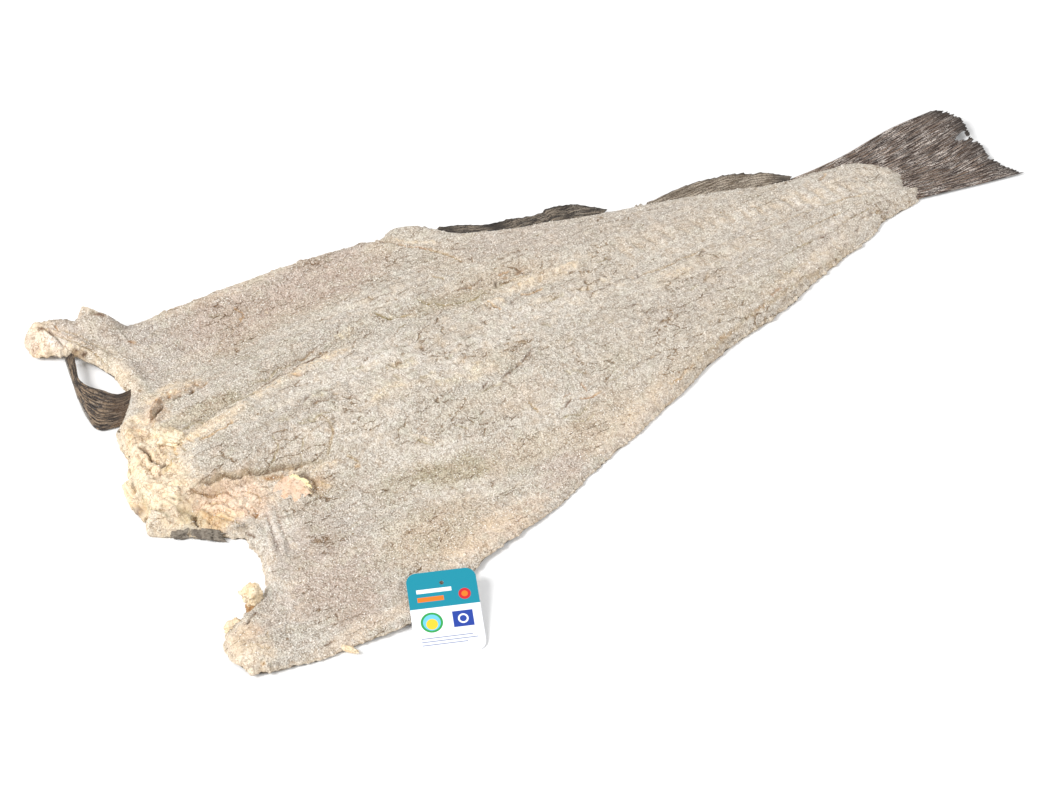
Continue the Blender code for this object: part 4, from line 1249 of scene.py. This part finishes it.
def fleshFinish():
    made, spot = newFinish("driedFlesh", 0.85)
    grain, crumbs, clumps = spot.noise(1050, 2, 0.7), spot.cells(640), spot.noise(230, 2, 0.6)
    broad, mottle, holes = spot.noise(34, 3, 0.55), spot.noise(95, 2, 0.6), spot.cells(95)
    strands = spot.mapped((110, 720, 500)).noise(1.0, 2, 0.6)
    tailward = spot.make("ShaderNodeSeparateXYZ", {}, {"Vector": spot}, "X").between(-0.16, 0.06)
    rough = (1 - 0.72 * spot.layer("raw")) * (1 - 0.12 * tailward)
    # the long grooves and splits follow the fish, on coordinates that wander a little
    wander = {0: spot.noise(110, 2, 0.6, output=1), 1: (0.009, 0.009, 0.009), 2: spot}
    pulled = spot.make("ShaderNodeVectorMath", {"operation": "MULTIPLY_ADD"}, wander, "Vector")
    grooves = pulled.mapped((15, 85, 60), (0, 0, 0.08)).noise(1.0, 2, 0.55)
    splits = pulled.mapped((19, 92, 30), (0, 0, 0.10)).cells(1.0, "DISTANCE_TO_EDGE").outside(0.0, 0.032)
    fissures = rough * splits * broad.between(0.48, 0.57) * clumps.between(0.38, 0.50)
    creases = spot.noise(260, 3, 0.55, Distortion=0.6).near(0.5, 0.045)
    torn = mottle.near(0.5, 0.018)
    gaps = rough * crumbs.between(0.36, 0.62) * (0.45 + 0.55 * clumps.between(0.38, 0.60))
    colourOf(made, fleshTones["base"], [
        *((spot.layer(name), fleshTones[name]) for name in tints),
        (0.30 * broad.between(0.45, 0.75), "CAB8A0"),
        (0.20 * broad.outside(0.30, 0.48), "E8E2DA"),
        (0.30 * mottle.between(0.52, 0.70), "D8C2B2"),
        (0.35 * mottle.outside(0.30, 0.48), "CDCBB6"),
        (0.34 * rough * grooves.between(0.50, 0.64), "EFE5D2"),
        (0.34 * rough * grooves.outside(0.34, 0.48), "C8BAA6"),
        # darker where the grain is low: darker flesh and painted shade in the grain's hollows
        (0.80 * rough * grain.outside(0.36, 0.50), "AB9D90", "MULTIPLY"),
        # painted light: lighter towards the tail, making up for how the lamps light the tail's slopes
        (0.26 * tailward, "F0E8DD"),
        # darker in the gaps between the crumbs, which the relief sinks: darker flesh between the salt and
        # painted shade in the gaps
        (0.62 * gaps, "AD9B8A", "MULTIPLY"),
        (0.36 * tailward * rough * strands.outside(0.36, 0.54), "B3A698", "MULTIPLY"),
        # the fissures, which the relief sinks, are darkened: their own brown and painted shade in them
        (0.85 * fissures, "A5875A", "MULTIPLY"),
        (0.45 * (1 - rough) * mottle.between(0.50, 0.62), "E9D19C"),
        # the creases and tears, which the relief sinks, are darkened: their own brown and painted shade in
        # them
        (0.16 * rough * creases, "AE9C82", "MULTIPLY"),
        (0.80 * (1 - rough) * (torn + creases * clumps.between(0.44, 0.54)), "B0844F", "MULTIPLY"),
        (0.70 * holes.outside(0.08, 0.16) * clumps.between(0.50, 0.60), "8A6F4E"),
        # pale specks on the grain's crests: the salt's own white and painted highlight
        (0.45 * crumbs.outside(0.08, 0.34) * grain.between(0.46, 0.58), "F4EEE6"),
        (0.20 * spot.layer("wall"), "E2C9A4"),
    ])
    sandy = grain * 0.7 + clumps * 0.5 - gaps * 0.6 - creases * 0.2
    surface = sandy + strands * tailward * 0.5 + grooves * 1.4
    reliefOf(made, rough * surface - torn * 0.3 - fissures * 0.9, 0.8, 0.0012)
    return made


finTones = {  # the streaks run by the share to the tip and across: two numbers for each of their axes
    "tailFin": {"dark": "2B1B13", "light": "7A6555", "root": "86725E", "dust": "E8DED5", "dusty": 0.78,
                "streaks": (7, 0, 0, 98)},
    "frontAnalFin": {"dark": "261E19", "light": "857868", "root": "5E4F3A", "dust": "BDB4A6", "dusty": 0.30,
                     "streaks": (0, 8, -26, 26)},
    "rearAnalFin": {"dark": "5E5040", "light": "AC9F8E", "root": "6B5336", "dust": "CDC4B6", "dusty": 0.45,
                    "streaks": (0, 7, -22, 24)},
    "pectoralFin": {"dark": "1E120B", "light": "86725C", "root": "5A4128", "dust": "B9B4AE", "dusty": 0.15,
                    "streaks": (8, 0, 0, 27), "strip": 0.20},
}


def finFinish(name):
    tones = finTones[name]
    made, spot = newFinish("skinOf" + name[0].upper() + name[1:], 0.62)
    toTip, across, ray, stain = (spot.layer(layer) for layer in ("toTip", "acrossFin", "ray", "stain"))
    tipX, acrossX, tipY, acrossY = tones["streaks"]
    places = {"X": toTip * tipX + across * acrossX, "Y": toTip * tipY + across * acrossY}
    lengthwise = spot.make("ShaderNodeCombineXYZ", {}, places)
    streaks, flecks = lengthwise.noise(1.0, 3, 0.65), lengthwise.noise(1.7, 2, 0.6)
    grain, patches = spot.noise(900, 3, 0.7), spot.noise(60, 3, 0.6)
    dust = (0.40 + 0.60 * patches.between(0.40, 0.62)) * flecks.between(0.49, 0.55)
    dust = dust * grain.between(0.43, 0.50)
    layers = [
        (streaks.between(0.45, 0.57) * (0.30 + 0.7 * ray.between(-0.8, 0.4)), tones["light"]),
        (0.7 * toTip.outside(0.10, 0.42) * patches.between(0.35, 0.6), tones["root"]),
        (dust * tones["dusty"], tones["dust"]),
        (0.70 * grain.outside(0.38, 0.50), "5F4E44", "MULTIPLY"),
        (0.6 * toTip.between(0.90, 1.0), "2A221E"),
        (0.9 * stain * grain.between(0.30, 0.52), "1E1713"),
    ]
    if "strip" in tones:
        strip = toTip.between(0.42, 0.58) * across.outside(tones["strip"] - 0.08, tones["strip"])
        layers.insert(4, (strip * grain.between(0.36, 0.50), "8E8982"))
    colourOf(made, tones["dark"], layers)
    reliefOf(made, streaks * 0.9 + grain * 0.5 + flecks * 0.4, 0.7, 0.0007)
    return made


def skinFinish():
    made, spot = newFinish("codSkin", 0.5)
    blotches, scales, grain = spot.noise(42, 4, 0.62), spot.cells(420), spot.noise(500, 2, 0.6)
    colourOf(made, "8C7D68", [
        (blotches.between(0.42, 0.62), "4C4034"),
        (0.5 * blotches.outside(0.25, 0.42), "B8AD9A"),
        (0.3 * grain.between(0.5, 0.7), "C9C2B6"),
    ])
    reliefOf(made, scales * 0.6 + grain * 0.3, 0.5, 0.0005)
    return made


scrapTones = {  # name of the finish, then its pale, warm, dark and edge tones
    "creamy": ("creamScrap", "EAD9BC", "DEC196", "8E6E4A", "E3D2B4"),
    "slaty": ("slateScrap", "857C70", "584F46", "221B16", "857C70"),
    "bright": ("paleChunk", "F3E4C9", "EAD3AB", "C8A673", "F7EAD2"),
    "woody": ("brownScrap", "A8835A", "8A6139", "4A2F19", "A8835A"),
    "orange": ("tornFlesh", "E3C8B0", "DAB696", "A87444", "F3E4B4"),
}


def scrapFinish(name, pale, warm, dark, edge):
    made, spot = newFinish(name, 0.75)
    grain, patches = spot.noise(560, 3, 0.7), spot.noise(120, 4, 0.65)
    strands = spot.mapped((90, 620, 300), (0.3, 0.4, 0.9)).noise(1.0, 2, 0.5)
    colourOf(made, pale, [
        (0.75 * patches.between(0.42, 0.62), warm),
        (0.6 * patches.outside(0.30, 0.42) * strands.between(0.4, 0.6), dark),
        (spot.layer("toTip").between(0.84, 0.92), edge),
        (0.8 * spot.layer("stain") * grain.between(0.3, 0.5), "6B5148"),
        (0.50 * grain.outside(0.34, 0.52), "9C8568", "MULTIPLY"),
    ])
    reliefOf(made, grain * 0.5 + strands * 0.9 + patches, 0.8, 0.0010)
    return made


def saltFinish():
    made, spot = newFinish("saltCrystal", 0.6)
    colourOf(made, "D8D0C4", [(spot.noise(260, 2, 0.5).between(0.35, 0.65), "EDE8E0")])
    return made


# the tag: a stiff card with round corners and a punched hole, leaning on the belly flap; its print
# is plain fields in millimetres from its lower left corner: left, right, low, high or middle, radius
tag = {
    "width": 0.048, "length": 0.063, "thick": 0.0008, "corner": 0.0072, "edge": 0.00012,
    "hole": 0.0015, "holeDrop": 0.0092, "foot": (0.130, -0.2355), "turn": -22.0, "card": "F1F3F8",
    "print": [
        ((-1, 60, 35.5, 70), "0C879C"), ((6, 30, 47.0, 50.0), "F4F5F7"), ((6, 24, 40.5, 44.0), "E9761F"),
        ((38.5, 43.5, 4.2), "C8202B"), ((38.5, 43.5, 2.2), "E9761F"), ((28, 42, 19, 31), "22409A"),
        ((35, 25, 3.6), "F1F3F8"), ((35, 25, 2.4), "22409A"), ((13.5, 24.5, 7.6), "2F9A4B"),
        ((13.5, 24.5, 6.0), "6CC3E0"), ((13.5, 23.2, 4.0), "F2C531"),
        ((5, 40, 12.5, 13.2), "7D86A8"), ((5, 43, 10.0, 10.7), "7D86A8"), ((5, 36, 7.5, 8.2), "7D86A8"),
    ],
}


def makeTag():
    bpy.ops.mesh.primitive_cube_add(size=1)
    bpy.context.object.scale = (tag["width"], tag["length"], tag["thick"])
    piece = named("tagCard")
    ends = (piece.data.vertices[k].co.z for edge in piece.data.edges for k in edge.vertices)
    upright = np.array(list(ends)).reshape(-1, 2)
    pick(piece, "edges", upright[:, 0] != upright[:, 1])
    bpy.ops.mesh.bevel(offset=tag["corner"], segments=10)
    endEdit()
    bpy.ops.mesh.primitive_cylinder_add(
        vertices=32, radius=tag["hole"], depth=0.01, location=(0, tag["length"] / 2 - tag["holeDrop"], 0),
    )
    punch = bpy.context.object
    modify(piece, "BOOLEAN", operation="DIFFERENCE", object=punch, solver="EXACT")
    bpy.data.objects.remove(punch)
    modify(piece, "BEVEL", width=tag["edge"], segments=2, limit_method="ANGLE")
    co = coordinates(piece)
    attribute(piece, "tagAcross", co[:, 0] / tag["width"] + 0.5)
    attribute(piece, "tagUp", co[:, 1] / tag["length"] + 0.5)
    attribute(piece, "face", co[:, 2] > 0)
    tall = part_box("tag")[1].z
    lean = math.asin((tall - tag["thick"]) / tag["length"])
    foot = Matrix.Translation(nape + Vector((*tag["foot"], 0)))
    stand = foot @ Matrix.Rotation(math.radians(tag["turn"]), 4, "Z")
    hinge = Matrix.Rotation(lean, 4, "X") @ Matrix.Translation((0, tag["length"] / 2, tag["thick"] / 2))
    piece.data.transform(stand @ hinge)
    return piece


def tagFinish():
    made, spot = newFinish("printedCard", 0.34)
    across = spot.layer("tagAcross") * (tag["width"] / mm)
    up = spot.layer("tagUp") * (tag["length"] / mm)
    front, soft = spot.layer("face"), 0.12

    def block(left, right, low, high):
        sides = across.between(left - soft, left + soft) * across.outside(right - soft, right + soft)
        return sides * up.between(low - soft, low + soft) * up.outside(high - soft, high + soft)

    def disc(x, y, radius):
        dx, dy = across - x, up - y
        return spot.sum("SQRT", dx * dx + dy * dy).outside(radius - soft, radius + soft)

    fields = ((block(*at) if len(at) == 4 else disc(*at), code) for at, code in tag["print"])
    colourOf(made, tag["card"], [(mask * front, code) for mask, code in fields])
    return made


room = {
    "floor": 30, "paper": "F4F4F4", "paperRoughness": 0.9, "daylight": 0.56,
    # each lamp's turn and height in degrees, distance and size in metres, and power
    "lamps": {"keyLight": (-95, 42, 4.0, 1.6, 150), "fillLight": (20, 45, 3.4, 2.6, 42)},
}
view = {"turn": -31.0, "up": 45.0, "distance": 1.845, "lens": 85.0, "target": (0.30, -0.05)}


def towardsSky(turn, up):
    # the direction from the fish at this turn and height, and the rotation that looks back along it
    a, e = math.radians(turn), math.radians(up)
    back = Vector((math.sin(a) * math.cos(e), -math.cos(a) * math.cos(e), math.sin(e)))
    return back, back.to_track_quat("Z", "Y").to_euler()


def makeStage():
    bpy.ops.mesh.primitive_plane_add(size=room["floor"], location=(0, 0, 0))
    floor = named("floor")
    made, _ = newFinish("palePaper", room["paperRoughness"])
    sockets(made)["Base Color"].default_value = tone(room["paper"])
    floor.data.materials.append(made)
    world = bpy.data.worlds.new("softRoom")
    world.use_nodes = True
    air = world.node_tree.nodes["Background"].inputs
    air["Color"].default_value, air["Strength"].default_value = (1, 1, 1, 1), room["daylight"]
    bpy.context.scene.world = world
    for name, (turn, up, away, size, power) in room["lamps"].items():
        back, rotation = towardsSky(turn, up)
        bpy.ops.object.light_add(type="AREA", location=away * back, rotation=rotation)
        light = bpy.context.object
        light.name = name
        light.data.size, light.data.energy = size, power


def makeCamera():
    back, rotation = towardsSky(view["turn"], view["up"])
    target = nape + Vector((*view["target"], 0))
    bpy.ops.object.camera_add(location=target + view["distance"] * back, rotation=rotation)
    bpy.context.object.data.lens = view["lens"]
    bpy.context.scene.camera = bpy.context.object


makeCamera()
makeStage()
print("stage ready")
sections, fleshLook = makeFlesh(), fleshFinish()
for section in sections:
    finished(section, fleshLook, smooth=False)
    print(section.name, "ready:", len(section.data.polygons))
finished(makeSkin(), skinFinish())
for name in finTones:
    finished(makeFin(name), finFinish(name))
print("skin and fins ready")
looks = {look: scrapFinish(*tones) for look, tones in scrapTones.items()}
for number, name in enumerate(scraps):
    finished(makeScrap(name, number), looks[scraps[name]["look"]])
finished(makeFin("napeStub"), looks["creamy"])
finished(makeFin("tornFlap"), looks["orange"])
print("loose ends ready")
salt = saltFinish()
for name in salts:
    grains = finished(scatterSalt(name, sections), salt, smooth=False)
    print(name, "ready:", len(grains.data.polygons))
finished(makeTag(), tagFinish(), "tag", smooth=False)
print("tag ready")
